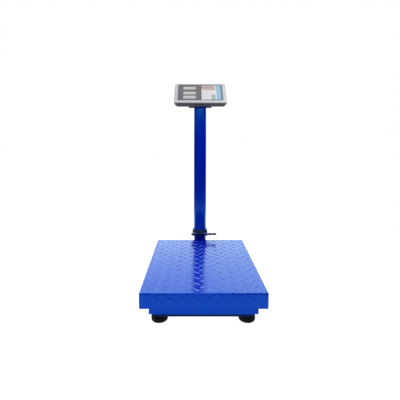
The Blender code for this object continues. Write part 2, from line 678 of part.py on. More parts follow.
def column():
    """Upper hinge block, tube and the plug in the tube's top."""
    fold = pivot("fold_axis", (0, HINGE_Y, HINGE_Z))
    half = BLOCK_WIDTH / 2
    front = BLOCK_FRONT_Y - HINGE_Y
    rear = BLOCK_REAR_Y - HINGE_Y
    top = UPPER_BLOCK_TOP_Z - HINGE_Z
    mesh = box_mesh((-half, front, GAP), (half, rear, top), BLOCK_CORNER, 4, 2)
    block = add_part("upper_hinge_block", mesh, dark_casting, parent=fold)
    knuckle(block, -CENTER_KNUCKLE / 2, CENTER_KNUCKLE / 2, 1, 0, 0)
    tube_y = TUBE_Y - HINGE_Y
    cut(block, tube_socket(SOCKET_FLOOR, THROUGH), (0, tube_y, 0))
    cut(block, rod_mesh(BOLT_RADIUS + GAP, -THROUGH, THROUGH, 0, sides=BARREL_SIDES))
    tube = rounded_tube("column_tube", SOCKET_FLOOR + GAP, TUBE_TOP_Z - HINGE_Z, parent=fold)
    tube.location.y = tube_y
    plug_x = TUBE_WIDTH / 2 - TUBE_WALL - GAP
    plug_y = TUBE_DEPTH / 2 - TUBE_WALL - GAP
    plug_top = TUBE_TOP_Z - HINGE_Z
    corner = TUBE_CORNER - TUBE_WALL
    plug = box_mesh((-plug_x, -plug_y, plug_top - PLUG_HEIGHT), (plug_x, plug_y, plug_top), corner, 6, 2)
    plug = add_part("column_top_plug", plug, zinc, (0, tube_y, 0), fold)
    for sign in (-1, 1):
        hole = rod_mesh(SCREW_RADIUS + GAP, plug_top - SCREW_LENGTH + 0.001, plug_top + GAP, 2)
        cut(plug, hole, (sign * SCREW_X, 0, 0))
    return fold


def head_bracket(fold):
    """U bracket on the column's top with round-ended ears, and its two screws."""
    place = (0, TUBE_Y - HINGE_Y, TILT_Z - HINGE_Z)
    bottom = TUBE_TOP_Z + GAP - TILT_Z
    half = EAR_DEPTH / 2
    mesh = box_mesh((-EAR_OUTER_X, -half, bottom), (EAR_OUTER_X, half, 0))
    bracket = add_part("head_bracket", mesh, dark_casting, place, fold)
    join(bracket, rod_mesh(half, -EAR_OUTER_X, EAR_OUTER_X, 0, sides=32))
    inner = EAR_OUTER_X - EAR_SHEET
    cut(bracket, box_mesh((-inner, -THROUGH, bottom + BRACKET_PLATE), (inner, THROUGH, THROUGH)))
    cut(bracket, rod_mesh(KNOB_STUD_RADIUS + GAP, -THROUGH, THROUGH, 0))
    plate_top = bottom + BRACKET_PLATE
    for name, sign in (("bracket_screw_left", -1), ("bracket_screw_right", 1)):
        screw_x = sign * SCREW_X
        cut(bracket, rod_mesh(SCREW_RADIUS + GAP, bottom - GAP, plate_top + GAP, 2), (screw_x, 0, 0))
        seat_bottom = plate_top - SCREW_HEAD_HEIGHT - 2 * GAP
        seat_radius = SCREW_HEAD_RADIUS + 3 * GAP
        seat = rod_mesh(SCREW_RADIUS, seat_bottom, plate_top + GAP, 2, end_radius=seat_radius)
        cut(bracket, seat, (screw_x, 0, 0))
        screw_place = (screw_x, place[1], place[2] + plate_top)
        shank = rod_mesh(SCREW_RADIUS, -SCREW_LENGTH, -0.001, 2)
        screw = add_part(name, shank, zinc, screw_place, fold)
        head = rod_mesh(SCREW_RADIUS, -SCREW_HEAD_HEIGHT, -GAP, 2, end_radius=SCREW_HEAD_RADIUS)
        join(screw, head)


fold_axis = column()
head_bracket(fold_axis)


# Indicator head


def hump_outline(inset):
    """Side outline of the hump round the tilt axis, as (y, z) in the head's frame."""
    radius = HUMP_RADIUS - inset
    back = SHELL_BACK + HUMP_SINK + inset
    slope_start = arc_points((TILT_LOCAL_Y, TILT_LOCAL_Z), radius, 180, 315, 14)
    return [(TILT_LOCAL_Y - radius, back)] + slope_start + [(HUMP_TOP - inset * 2.2, back)]


def rear_shell(frame):
    """Dark rear housing with the hump that the bracket's ears hold."""
    half = SHELL_WIDTH / 2
    mesh = box_mesh((-half, SHELL_BOTTOM, SHELL_BACK), (half, SHELL_TOP, SHELL_FRONT), SHELL_CORNER, 4, 2)
    shell = add_part("rear_shell", mesh, black_plastic, parent=frame)
    join(shell, outline_mesh(hump_outline(0), HUMP_HALF_WIDTH, 0))
    wall = SHELL_WALL
    low = (-half + wall, SHELL_BOTTOM + wall, SHELL_BACK + wall)
    high = (half - wall, SHELL_TOP - wall, THROUGH)
    cut(shell, box_mesh(low, high, SHELL_CORNER - wall, 4, 2))
    cut(shell, outline_mesh(hump_outline(wall), HUMP_HALF_WIDTH - wall, 0))
    bore = rod_mesh(KNOB_STUD_RADIUS + GAP, -THROUGH, THROUGH, 0)
    cut(shell, bore, (0, TILT_LOCAL_Y, TILT_LOCAL_Z))
    depth = 2 * wall
    for center_x, size in ((ROCKER_X, ROCKER_HOLE), (-ROCKER_X, INLET_SIZE)):
        hole_x, hole_y = size[0] / 2 + GAP, size[1] / 2 + GAP
        hole = box_mesh((-hole_x, -hole_y, -depth), (hole_x, hole_y, depth))
        cut(shell, hole, (center_x, ROCKER_Y, SHELL_BACK))
    hole = rod_mesh(SOCKET_RADIUS + GAP, -depth, depth, 2)
    cut(shell, hole, (-ROCKER_X, SOCKET_Y, SHELL_BACK))


def front_shell(frame):
    """Silver bezel round the panel."""
    half = BEZEL_WIDTH / 2
    low = (-half, BEZEL_BOTTOM, BEZEL_BACK)
    mesh = box_mesh(low, (half, BEZEL_TOP, BEZEL_FRONT), BEZEL_CORNER, 4, 2)
    bezel = add_part("front_shell", mesh, silver_plastic, parent=frame)
    inner = PANEL_WIDTH / 2 + GAP
    cut(bezel, box_mesh((-inner, -GAP, -THROUGH), (inner, PANEL_HEIGHT + GAP, THROUGH)))


def front_panel(frame):
    """Panel with its three display windows, and the keypad film stuck on it."""
    half = PANEL_WIDTH / 2
    mesh = box_mesh((-half, 0, -PANEL_SHEET), (half, PANEL_HEIGHT, 0))
    panel = add_part("front_panel", mesh, panel_film, parent=frame)
    half_x, half_y = WINDOW_WIDTH / 2, WINDOW_HEIGHT / 2
    for name, y in zip(("display_weight", "display_price", "display_total"), WINDOW_ROWS):
        hole = box_mesh((-half_x - GAP, -half_y - GAP, -THROUGH), (half_x + GAP, half_y + GAP, THROUGH))
        cut(panel, hole, (WINDOW_X, y, 0))
        glass = box_mesh((-half_x, -half_y, -PANEL_SHEET), (half_x, half_y, -WINDOW_SINK))
        add_part(name, glass, display_glass, (WINDOW_X, y, 0), frame)
    half_x, half_y = KEYPAD_WIDTH / 2, KEYPAD_HEIGHT / 2
    low = (-half_x, -half_y, GAP)
    keypad = box_mesh(low, (half_x, half_y, GAP + KEYPAD_THICKNESS), 0.002, 3, 2)
    add_part("keypad", keypad, keypad_film, (KEYPAD_X, PANEL_HEIGHT / 2, 0), frame)


def centered_box(size, corner=0.0, segments=2, corner_axis=None):
    """A box about its own middle."""
    high = Vector(size) / 2
    return box_mesh(-high, high, corner, segments, corner_axis)


def head_internals(frame):
    """Circuit board behind the panel and the battery inside the hump, with its cover outside."""
    board = centered_box((BOARD_WIDTH, BOARD_HEIGHT, BOARD_SHEET))
    board_place = (0, PANEL_HEIGHT / 2, BOARD_BACK + BOARD_SHEET / 2)
    add_part("circuit_board", board, board_green, board_place, frame)
    battery = centered_box(BATTERY_SIZE, 0.002)
    add_part("battery", battery, battery_wrap, (0, TILT_LOCAL_Y, TILT_LOCAL_Z), frame)
    slope_top = Vector((HUMP_TOP, SHELL_BACK + HUMP_SINK))
    slope_foot = Vector(hump_outline(0)[-2])
    middle = (slope_top + slope_foot) / 2
    slope = slope_top - slope_foot
    seat = pivot("battery_cover_seat", (0, middle.x, middle.y), frame, math.atan2(slope.y, slope.x))
    cover = centered_box(COVER_SIZE, 0.003, 3, 2)
    add_part("battery_cover", cover, black_plastic, (0, 0, -GAP - COVER_SIZE[2] / 2), seat)


def head_connectors(frame):
    """Mains inlet and the round signal socket, both set in the shell's back."""
    half_x, half_y = INLET_SIZE[0] / 2, INLET_SIZE[1] / 2
    rim = 0.002
    inlet = box_mesh((-half_x, -half_y, -rim), (half_x, half_y, INLET_DEPTH), rim, 2, 2)
    inlet = add_part("power_inlet", inlet, black_plastic, (-ROCKER_X, ROCKER_Y, SHELL_BACK), frame)
    well_x, well_y, well_z = half_x - INLET_RIM, half_y - INLET_RIM, INLET_DEPTH - INLET_RIM
    cut(inlet, box_mesh((-well_x, -well_y, -THROUGH), (well_x, well_y, well_z), 0.0018, 2, 2))
    for x in (-INLET_PIN_PITCH, 0, INLET_PIN_PITCH):
        join(inlet, box_mesh((x - 0.001, -0.002, 0), (x + 0.001, 0.002, well_z + GAP)))
    socket = rod_mesh(SOCKET_RADIUS, -0.007, 0.008, 2, sides=24)
    socket = add_part("signal_socket", socket, zinc, (-ROCKER_X, SOCKET_Y, SHELL_BACK), frame)
    cut(socket, rod_mesh(SOCKET_BORE_RADIUS, -THROUGH, 0.003, 2, sides=24))


def power_rocker(frame):
    """Rocker cap with a shallow V face, resting on its off side."""
    rock = pivot("rocker_axis", (ROCKER_X, ROCKER_Y, SHELL_BACK + 0.002), frame)
    rock.rotation_euler.x = ROCKER_REST
    end = ROCKER_HALF_LENGTH
    face = [(-end, -0.0040), (0, -0.0026), (end, -0.0040), (end, 0.0010), (0, 0.006), (-end, 0.0010)]
    add_part("power_rocker", outline_mesh(face, ROCKER_HALF_WIDTH, 0), black_plastic, parent=rock)


def tilt_knob(name, sign, frame):
    """Lobed hand knob with a stud through the ear into the hump."""
    spin = pivot(name + "_axis", (0, TILT_LOCAL_Y, TILT_LOCAL_Z), frame)
    start = EAR_OUTER_X + GAP
    ends = sorted((sign * start, sign * (start + KNOB_LENGTH)))
    knob = add_part(name, rod_mesh(KNOB_RADIUS, *ends, 0, sides=30), black_plastic, parent=spin)
    groove_ends = sorted((sign * (start + 0.003), sign * THROUGH))
    for lobe in range(KNOB_LOBES):
        angle = math.tau * lobe / KNOB_LOBES
        center = Vector((0, math.cos(angle), math.sin(angle))) * (KNOB_RADIUS + 0.003)
        cut(knob, rod_mesh(KNOB_GROOVE_RADIUS, *groove_ends, 0, sides=16), center)
    join(knob, rod_mesh(KNOB_STUD_RADIUS, *sorted((sign * KNOB_STUD_TIP_X, sign * (start + 0.002))), 0))


TILT_Y = TUBE_Y
head_offset = Vector((TILT_Y - (DECK_CENTER_Y + PANEL_BOTTOM_Y), TILT_Z - PANEL_BOTTOM_Z))
PANEL_UP = Vector((math.sin(PANEL_LEAN), math.cos(PANEL_LEAN)))
PANEL_OUT = Vector((-math.cos(PANEL_LEAN), math.sin(PANEL_LEAN)))
TILT_LOCAL_Y = head_offset.dot(PANEL_UP)
TILT_LOCAL_Z = head_offset.dot(PANEL_OUT)

tilt_axis = pivot("tilt_axis", (0, TILT_Y - HINGE_Y, TILT_Z - HINGE_Z), fold_axis)
head_frame = pivot("head_frame", (0, -head_offset.x, -head_offset.y), tilt_axis, math.pi / 2 - PANEL_LEAN)
rear_shell(head_frame)
front_shell(head_frame)
front_panel(head_frame)
head_internals(head_frame)
head_connectors(head_frame)
power_rocker(head_frame)
tilt_knob("tilt_knob_left", -1, head_frame)
tilt_knob("tilt_knob_right", 1, head_frame)
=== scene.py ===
import json
import math

import bmesh
import bpy
from mathutils import Matrix, Vector


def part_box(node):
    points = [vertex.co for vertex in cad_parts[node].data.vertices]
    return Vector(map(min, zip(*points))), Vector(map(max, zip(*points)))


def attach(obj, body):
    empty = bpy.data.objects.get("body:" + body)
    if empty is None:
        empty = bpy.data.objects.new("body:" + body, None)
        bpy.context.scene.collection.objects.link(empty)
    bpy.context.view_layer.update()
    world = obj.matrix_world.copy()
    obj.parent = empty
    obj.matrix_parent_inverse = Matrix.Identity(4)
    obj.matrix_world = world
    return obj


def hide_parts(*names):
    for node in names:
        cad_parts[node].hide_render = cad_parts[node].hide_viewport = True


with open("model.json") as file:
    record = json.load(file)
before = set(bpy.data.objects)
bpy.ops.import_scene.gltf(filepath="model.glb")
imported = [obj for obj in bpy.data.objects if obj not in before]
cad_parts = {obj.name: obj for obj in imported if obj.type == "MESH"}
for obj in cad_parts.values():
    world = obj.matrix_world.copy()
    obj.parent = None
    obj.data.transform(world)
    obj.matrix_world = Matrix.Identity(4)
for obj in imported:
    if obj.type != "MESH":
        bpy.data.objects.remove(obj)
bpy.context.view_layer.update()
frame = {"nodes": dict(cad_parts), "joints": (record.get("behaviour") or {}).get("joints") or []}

# Where the scale stands to be looked at: a white paper sweep under a wide lens that stands a little
# left of the scale and looks five degrees down, with big soft lights all round.
deck_low, deck_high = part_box("deck_plate")
deck_middle = (deck_low + deck_high) / 2


def set_down(name, data):
    """An object of its own for a mesh, lamp, camera or text."""
    item = bpy.data.objects.new(name, data)
    bpy.context.scene.collection.objects.link(item)
    return item


def feed(tree, given, socket):
    """Puts a number or colour on a socket, or links an output to it."""
    if isinstance(given, bpy.types.NodeSocket):
        tree.links.new(given, socket)
    else:
        socket.default_value = given


def ranged(tree, value, low, high, to_low=0.0, to_high=1.0, eased_ends=False):
    """A value carried from one range to another."""
    node = tree.nodes.new("ShaderNodeMapRange")
    if eased_ends:
        node.interpolation_type = "SMOOTHSTEP"
    for label, number in (("From Min", low), ("From Max", high), ("To Min", to_low), ("To Max", to_high)):
        node.inputs[label].default_value = number
    feed(tree, value, node.inputs["Value"])
    return node.outputs["Result"]


def reckoned(tree, operation, first, second=0.0):
    """Arithmetic on outputs or numbers."""
    node = tree.nodes.new("ShaderNodeMath")
    node.operation = operation
    feed(tree, first, node.inputs[0])
    feed(tree, second, node.inputs[1])
    return node.outputs["Value"]


view_data = bpy.data.cameras.new("camera")
view_data.sensor_width = 36.0
view_data.lens = 26.62
view_data.shift_x = 0.01684
view_data.shift_y = -0.0808
camera = set_down("camera", view_data)
camera.location = (-0.0323, deck_middle.y - 1.1169, 0.5718)
camera.rotation_euler = (math.radians(85), 0, 0)
bpy.context.scene.camera = camera
bpy.context.scene.view_settings.view_transform = "Standard"

white = (1.0, 1.0, 1.0, 1.0)
cool_white = (0.80, 1.0, 1.0, 1.0)
dim_room, bright_wall = 0.05, 1.73
world = bpy.data.worlds.new("white_studio")
world.use_nodes = True
sky = world.node_tree
around = sky.nodes.new("ShaderNodeTexCoord")
heading = sky.nodes.new("ShaderNodeSeparateXYZ")
sky.links.new(around.outputs["Generated"], heading.inputs["Vector"])
far_wall = ranged(sky, heading.outputs["Y"], 0.10, 0.80, eased_ends=True)
rise = ranged(sky, heading.outputs["Z"], 0.75, 0.15, 1.15, 1.0, eased_ends=True)
horizon = ranged(sky, heading.outputs["Z"], -0.02, 0.12, eased_ends=True)
glow = reckoned(sky, "MULTIPLY", far_wall, reckoned(sky, "MULTIPLY", rise, horizon))
backdrop = sky.nodes["Background"]
backdrop.inputs["Color"].default_value = cool_white
feed(sky, ranged(sky, glow, 0.0, 1.0, dim_room, bright_wall), backdrop.inputs["Strength"])
plain = sky.nodes.new("ShaderNodeBackground")
plain.inputs["Color"].default_value = white
seen = sky.nodes.new("ShaderNodeLightPath")
either = sky.nodes.new("ShaderNodeMixShader")
feed(sky, seen.outputs["Is Camera Ray"], either.inputs["Fac"])
feed(sky, backdrop.outputs["Background"], either.inputs[1])
feed(sky, plain.outputs["Background"], either.inputs[2])
feed(sky, either.outputs["Shader"], sky.nodes["World Output"].inputs["Surface"])
bpy.context.scene.world = world

sweep_half = 1.1
sweep_shape = bmesh.new()
bmesh.ops.create_grid(sweep_shape, x_segments=8, y_segments=8, size=sweep_half)
sweep_mesh = bpy.data.meshes.new("floor")
sweep_shape.to_mesh(sweep_mesh)
sweep_shape.free()
floor = set_down("floor", sweep_mesh)
paper = bpy.data.materials.new("white_paper")
paper.use_nodes = True
paper_face = paper.node_tree.nodes["Principled BSDF"].inputs
paper_face["Base Color"].default_value = (0.20, 0.20, 0.20, 1.0)
paper_face["Roughness"].default_value = 0.9
paper_face["Emission Color"].default_value = white
paper_face["Emission Strength"].default_value = 0.97
floor.data.materials.append(paper)


def soft_light(name, place, aim, size, power, mirrored=True):
    """A softbox (width, height) that points at a place on the scale, seen or not seen in its gloss."""
    lamp = bpy.data.lights.new(name, "AREA")
    lamp.shape = "RECTANGLE"
    lamp.size, lamp.size_y = size
    lamp.energy = power
    box = set_down(name, lamp)
    box.location = place
    box.visible_glossy = mirrored
    box.visible_camera = False
    box.rotation_euler = (Vector(aim) - Vector(place)).to_track_quat("-Z", "Y").to_euler()


soft_light("top_light", (-0.2, -0.3, 3.0), (0, 0, 0.1), (2.4, 2.4), 40)
soft_light("back_light", (0.0, 1.4, 2.3), (0, 0, 0.1), (2.4, 0.8), 22)
soft_light("front_light", (0.0, -2.6, 1.4), (0, 0.1, 0.3), (1.0, 0.8), 7)
soft_light("left_strip", (-1.75, -1.64, 1.4), (0, 0.2, 0.6), (0.3, 1.5), 5)
soft_light("right_strip", (1.75, -1.64, 1.4), (0, 0.2, 0.6), (0.3, 1.5), 4.5)
soft_light("head_light", (0.36, -0.05, 0.98), (0.06, 0.2, 0.78), (0.12, 0.12), 1.2, mirrored=False)
soft_light("low_light", (-0.5, -1.9, 0.2), (0, -0.25, 0.06), (0.6, 0.3), 3, mirrored=False)


# Base frame: four steel members pressed to a stepped section, mitred, welded at the corners and
# dipped in blue gloss enamel. The bends are soft, and each mitre is closed by a short weld bead.


def clouds_of(tree, scale, detail):
    """Cloudy noise that stays where it is on the piece."""
    place = tree.nodes.new("ShaderNodeTexCoord")
    noise = tree.nodes.new("ShaderNodeTexNoise")
    noise.inputs["Scale"].default_value = scale
    noise.inputs["Detail"].default_value = detail
    feed(tree, place.outputs["Object"], noise.inputs["Vector"])
    return noise.outputs["Fac"]


def mixed(tree, share, first, second):
    """Two colours in the shares that an output gives."""
    node = tree.nodes.new("ShaderNodeMix")
    node.data_type = "RGBA"
    feed(tree, share, node.inputs["Factor"])
    feed(tree, first, node.inputs["A"])
    feed(tree, second, node.inputs["B"])
    return node.outputs["Result"]


def finish_of(name, light, dark, rough, rough_spread=0.06, grain=0.0007, grain_depth=0.00003, patch=0.05,
              metallic=0.0, coat=0.0, coat_rough=0.08, coat_ior=1.5, shine=0.5, tint=(1.0, 1.0, 1.0), ior=1.5,
              worn=None, worn_reach=0.0007, worn_amount=0.5):
    """A finish: cloudy colour, uneven gloss, a fine surface grain and, where worn is given, rubbed edges."""
    material = bpy.data.materials.new(name)
    material.use_nodes = True
    tree = material.node_tree
    shader = tree.nodes["Principled BSDF"]
    for label, value in (
        ("Metallic", metallic), ("Coat Weight", coat), ("Coat Roughness", coat_rough), ("Coat IOR", coat_ior),
        ("Specular IOR Level", shine), ("Specular Tint", (*tint, 1.0)), ("IOR", ior),
    ):
        shader.inputs[label].default_value = value
    color = mixed(tree, clouds_of(tree, 1 / patch, 5.0), (*dark, 1.0), (*light, 1.0))
    smears = clouds_of(tree, 4.3 / patch, 7.0)
    gloss = ranged(tree, smears, 0.3, 0.7, max(0.02, rough - rough_spread), rough + rough_spread)
    feed(tree, gloss, shader.inputs["Roughness"])
    relief = tree.nodes.new("ShaderNodeBump")
    relief.inputs["Strength"].default_value = 1.0
    relief.inputs["Distance"].default_value = grain_depth
    feed(tree, clouds_of(tree, 1 / grain, 2.0), relief.inputs["Height"])
    feed(tree, relief.outputs["Normal"], shader.inputs["Normal"])
    if worn:
        rounded = tree.nodes.new("ShaderNodeBevel")
        rounded.samples = 4
        rounded.inputs["Radius"].default_value = worn_reach
        facing = tree.nodes.new("ShaderNodeNewGeometry")
        agree = tree.nodes.new("ShaderNodeVectorMath")
        agree.operation = "DOT_PRODUCT"
        feed(tree, rounded.outputs["Normal"], agree.inputs[0])
        feed(tree, facing.outputs["Normal"], agree.inputs[1])
        edge = ranged(tree, agree.outputs["Value"], 0.985, 0.80, 0.0, worn_amount)
        color = mixed(tree, reckoned(tree, "MULTIPLY", edge, smears), color, (*worn, 1.0))
    feed(tree, color, shader.inputs["Base Color"])
    return material


def place_on(tree, axis):
    """How far along X, Y or Z a spot of the piece lies."""
    place = tree.nodes.new("ShaderNodeTexCoord")
    split = tree.nodes.new("ShaderNodeSeparateXYZ")
    feed(tree, place.outputs["Object"], split.inputs["Vector"])
    return split.outputs[axis]


def overpainted(material, share, paint):
    """Lays a second colour over a finish's own, in the shares that an output gives."""
    tree = material.node_tree
    base = tree.nodes["Principled BSDF"].inputs["Base Color"]
    feed(tree, mixed(tree, share, base.links[0].from_socket, (*paint, 1.0)), base)


def smooth_by_angle(mesh, degrees=32):
    mesh.shade_smooth()
    mesh.set_sharp_from_angle(angle=math.radians(degrees))


def settled(piece):
    """Makes a piece's modifiers part of its mesh."""
    seen = piece.evaluated_get(bpy.context.evaluated_depsgraph_get())
    mesh = bpy.data.meshes.new_from_object(seen)
    piece.modifiers.clear()
    piece.data = mesh


def taken_off(piece):
    """The mesh of an object that is needed no more."""
    mesh = piece.data
    bpy.data.objects.remove(piece)
    return mesh


def fit_piece(name, mesh, material, body, slot, *nodes):
    """Puts a finished mesh on its body, in place of the named CAD nodes."""
    piece = set_down(name, mesh)
    piece.data.materials.clear()
    piece.data.materials.append(material)
    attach(piece, body)
    if nodes:
        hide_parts(*nodes)


def soften(piece, width, steps, angle):
    """Rounds off a piece's sharp edges."""
    ease = piece.modifiers.new("ease", "BEVEL")
    ease.width = width
    ease.segments = steps
    ease.limit_method = "ANGLE"
    ease.angle_limit = math.radians(angle)
    return ease


def eased(node, width, material, steps=2, body="base", slot="blue_paint"):
    """The node's own shape with its sharp edges rounded off, as a press brake or a tumbler leaves them."""
    weld_reach, sharp_from = 0.00002, 35
    shape = bmesh.new()
    shape.from_mesh(frame["nodes"][node].data)
    bmesh.ops.remove_doubles(shape, verts=shape.verts, dist=weld_reach)
    bmesh.ops.dissolve_limit(
        shape, angle_limit=math.radians(1), verts=shape.verts, edges=shape.edges, delimit=set()
    )
    mesh = bpy.data.meshes.new(node)
    shape.to_mesh(mesh)
    shape.free()
    piece = set_down("rough", mesh)
    soften(piece, width, steps, sharp_from).harden_normals = True
    smooth_by_angle(piece.data, sharp_from)
    settled(piece)
    fit_piece(node.replace("_", "-"), taken_off(piece), material, body, slot, node)


enamel = finish_of(
    "blue_gloss_enamel", light=(0.0, 0.011, 0.48), dark=(0.0, 0.006, 0.38), rough=0.19, grain=0.0011,
    grain_depth=0.000022, patch=0.09, coat=0.5, coat_rough=0.1, worn=(0.02, 0.10, 0.72), worn_amount=0.35,
    tint=(0.0, 0.36, 1.0), shine=1.0, ior=1.6, coat_ior=1.2,
)
# Painted shade: the base members get a copy of the enamel that turns deep navy and loses most of its gloss
# below 38.5 mm. This stands in for the shade along the frame's lower lip, not for dirt.
frame_enamel = enamel.copy()
frame_enamel.name = "blue_enamel_dirty_at_the_foot"
frame_paint = frame_enamel.node_tree
shader = frame_paint.nodes["Principled BSDF"]
shader.inputs["Coat Weight"].default_value = 0.15
shade_top, shade_full = 0.0385, 0.0365
painted_shade_share = ranged(frame_paint, place_on(frame_paint, "Z"), shade_top, shade_full, 0.0, 0.93)
feed(frame_paint, ranged(frame_paint, painted_shade_share, 0.0, 1.0, 1.0, 0.12), shader.inputs["Specular IOR Level"])
overpainted(frame_enamel, painted_shade_share, (0.001, 0.006, 0.055))
for member in ("base_beam_front", "base_beam_rear", "base_rail_left", "base_rail_right"):
    eased(member, 0.0009, frame_enamel, steps=3)


def new_tree(name, shape_in, values_in, shape_out):
    """A geometry tree with a shape and named values going in and one shape coming out."""
    tree = bpy.data.node_groups.new(name, "GeometryNodeTree")
    tree.interface.new_socket(name=shape_in, in_out="INPUT", socket_type="NodeSocketGeometry")
    keys = {}
    for label, kind in values_in:
        socket = tree.interface.new_socket(name=label, in_out="INPUT", socket_type="NodeSocket" + kind)
        keys[label] = socket.identifier
    tree.interface.new_socket(name=shape_out, in_out="OUTPUT", socket_type="NodeSocketGeometry")
    return tree, tree.nodes.new("NodeGroupInput").outputs, keys


def close_tree(tree, shape, material):
    """Ends a tree: instances made real faces, in the given material."""
    solid = tree.nodes.new("GeometryNodeRealizeInstances")
    feed(tree, shape, solid.inputs["Geometry"])
    dress = tree.nodes.new("GeometryNodeSetMaterial")
    feed(tree, solid.outputs["Geometry"], dress.inputs["Geometry"])
    feed(tree, material, dress.inputs["Material"])
    feed(tree, dress.outputs["Geometry"], tree.nodes.new("NodeGroupOutput").inputs[0])


def run_tree(piece, tree, keys, values):
    """Runs a tree on a piece with its named inputs set, and keeps the result as the piece's mesh."""
    step = piece.modifiers.new(tree.name, "NODES")
    step.node_group = tree
    for label, value in values.items():
        step[keys[label]] = value
    settled(piece)


def bead_tree():
    """Weld bead along a path: overlapping flat ripples laid at an even step."""
    values = (("Step", "Float"), ("Width", "Float"), ("Ragged", "Float"), ("Metal", "Material"))
    tree, given, keys = new_tree("weld_bead", "Path", values, "Bead")
    path = tree.nodes.new("GeometryNodeMeshToCurve")
    feed(tree, given["Path"], path.inputs["Mesh"])
    points = tree.nodes.new("GeometryNodeCurveToPoints")
    points.mode = "LENGTH"
    feed(tree, path.outputs["Curve"], points.inputs["Curve"])
    feed(tree, given["Step"], points.inputs["Length"])
    ripple = tree.nodes.new("GeometryNodeMeshUVSphere")
    ripple.inputs["Segments"].default_value = 10
    ripple.inputs["Rings"].default_value = 6
    feed(tree, given["Width"], ripple.inputs["Radius"])
    flat = tree.nodes.new("GeometryNodeTransform")
    flat.inputs["Scale"].default_value = (1.0, 1.0, 0.62)
    feed(tree, ripple.outputs["Mesh"], flat.inputs["Geometry"])
    smooth = tree.nodes.new("GeometryNodeSetShadeSmooth")
    feed(tree, flat.outputs["Geometry"], smooth.inputs[0])
    lay = tree.nodes.new("GeometryNodeInstanceOnPoints")
    feed(tree, points.outputs["Points"], lay.inputs["Points"])
    feed(tree, smooth.outputs[0], lay.inputs["Instance"])
    feed(tree, points.outputs["Rotation"], lay.inputs["Rotation"])
    uneven = tree.nodes.new("FunctionNodeRandomValue")
    uneven.inputs["Seed"].default_value = 7
    feed(tree, reckoned(tree, "SUBTRACT", 1.0, given["Ragged"]), uneven.inputs[2])
    feed(tree, uneven.outputs[1], lay.inputs["Scale"])
    close_tree(tree, lay.outputs["Instances"], given["Metal"])
    return tree, keys


weld_tree, weld_keys = bead_tree()


def weld_bead(name, runs, width):
    """Painted weld beads along runs of points."""
    mesh = bpy.data.meshes.new(name)
    points = [point for run in runs for point in run]
    edges = []
    start = 0
    for run in runs:
        edges += [(start + i, start + i + 1) for i in range(len(run) - 1)]
        start += len(run)
    mesh.from_pydata(points, edges, [])
    bead = set_down(name, mesh)
    values = {"Step": width * 0.8, "Width": width, "Ragged": 0.18, "Metal": enamel}
    run_tree(bead, weld_tree, weld_keys, values)
    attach(bead, "base")


rail_low, rail_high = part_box("base_rail_left")
beam_low, beam_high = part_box("base_beam_front")
rear_low, rear_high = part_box("base_beam_rear")
mitre, mitre_bead, bead_drop = 0.028, 0.0016, 0.024
mitre_runs = []
for sign in (-1, 1):
    for edge_y, inward in ((beam_low.y, 1), (rear_high.y, -1)):
        corner = Vector((sign * abs(rail_low.x), edge_y, beam_high.z + 0.0002))
        inner = corner + Vector((-sign * mitre, inward * mitre, 0))
        top = corner + Vector((-sign * 0.0008, inward * 0.0008, -0.001))
        foot = corner + Vector((-sign * 0.0003, inward * 0.0003, -bead_drop))
        mitre_runs.append([tuple(corner.lerp(inner, 0.04)), tuple(corner.lerp(inner, 0.97))])
        mitre_runs.append([tuple(top), tuple(foot)])
weld_bead("frame-corner-welds", mitre_runs, mitre_bead)


# Centre channel and corner gussets: bent and cut plate welded inside the frame. Each gusset has a
# hexagon nut welded on top for a foot's stud.
nut_bead, nut_bead_radius, gusset_top = 0.0011, 0.0112, 0.0472
eased("base_center_channel", 0.0008, enamel)
for corner in ("fl", "fr", "rl", "rr"):
    eased("foot_gusset_" + corner, 0.0005, enamel)
    low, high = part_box("foot_stud_" + corner)
    middle = (low + high) / 2
    nut_run = []
    for step in range(25):
        turn = math.tau * step / 24
        nut_run.append((middle.x + nut_bead_radius * math.cos(turn),
                        middle.y + nut_bead_radius * math.sin(turn), gusset_top))
    weld_bead("gusset-nut-weld-" + corner, [nut_run], nut_bead)


# Levelling feet: a moulded rubber pad with grip ribs round its side, pressed on a zinc-plated
# stud that screws up into the gusset's nut and is locked by its own hexagon collar.


def stacked(loops, closed_ring=False):
    """Skins a stack of matching loops; the ends are capped, or joined to each other as a ring."""
    shape = bmesh.new()
    rings = [[shape.verts.new(point) for point in loop] for loop in loops]
    pairs = list(zip(rings, rings[1:]))
    if closed_ring:
        pairs.append((rings[-1], rings[0]))
    for lower, upper in pairs:
        for i in range(len(lower)):
            j = (i + 1) % len(lower)
            shape.faces.new((lower[i], lower[j], upper[j], upper[i]))
    if not closed_ring:
        shape.faces.new(list(reversed(rings[0])))
        shape.faces.new(rings[-1])
    bmesh.ops.recalc_face_normals(shape, faces=shape.faces)
    mesh = bpy.data.meshes.new("stacked")
    shape.to_mesh(mesh)
    shape.free()
    smooth_by_angle(mesh)
    return mesh


def circle_loop(radius, height, sides, wave=0.0, waves=0):
    turns = [math.tau * i / sides for i in range(sides)]
    radii = [radius + wave * math.cos(waves * turn) for turn in turns]
    return [Vector((r * math.cos(turn), r * math.sin(turn), height)) for r, turn in zip(radii, turns)]


def threaded_rod(radius, bottom, top, pitch, sides=28):
    """A rod with a helical thread and chamfered ends."""
    rows_a_turn, thread_share, core_share = 6, 0.5, 0.55
    rows = int((top - bottom) / pitch * rows_a_turn)
    loops = []
    for row in range(rows + 1):
        height = bottom + (top - bottom) * row / rows
        taper = min(1.0, min(row, rows - row) / rows_a_turn)
        loop = []
        for i in range(sides):
            phase = ((height - bottom) / pitch - i / sides) % 1.0
            depth = pitch * thread_share * abs(phase * 2 - 1) * taper + (1 - taper) * pitch * core_share
            reach = radius - depth
            turn = math.tau * (i / sides)
            loop.append(Vector((reach * math.cos(turn), reach * math.sin(turn), height)))
        loops.append(loop)
    return stacked(loops)


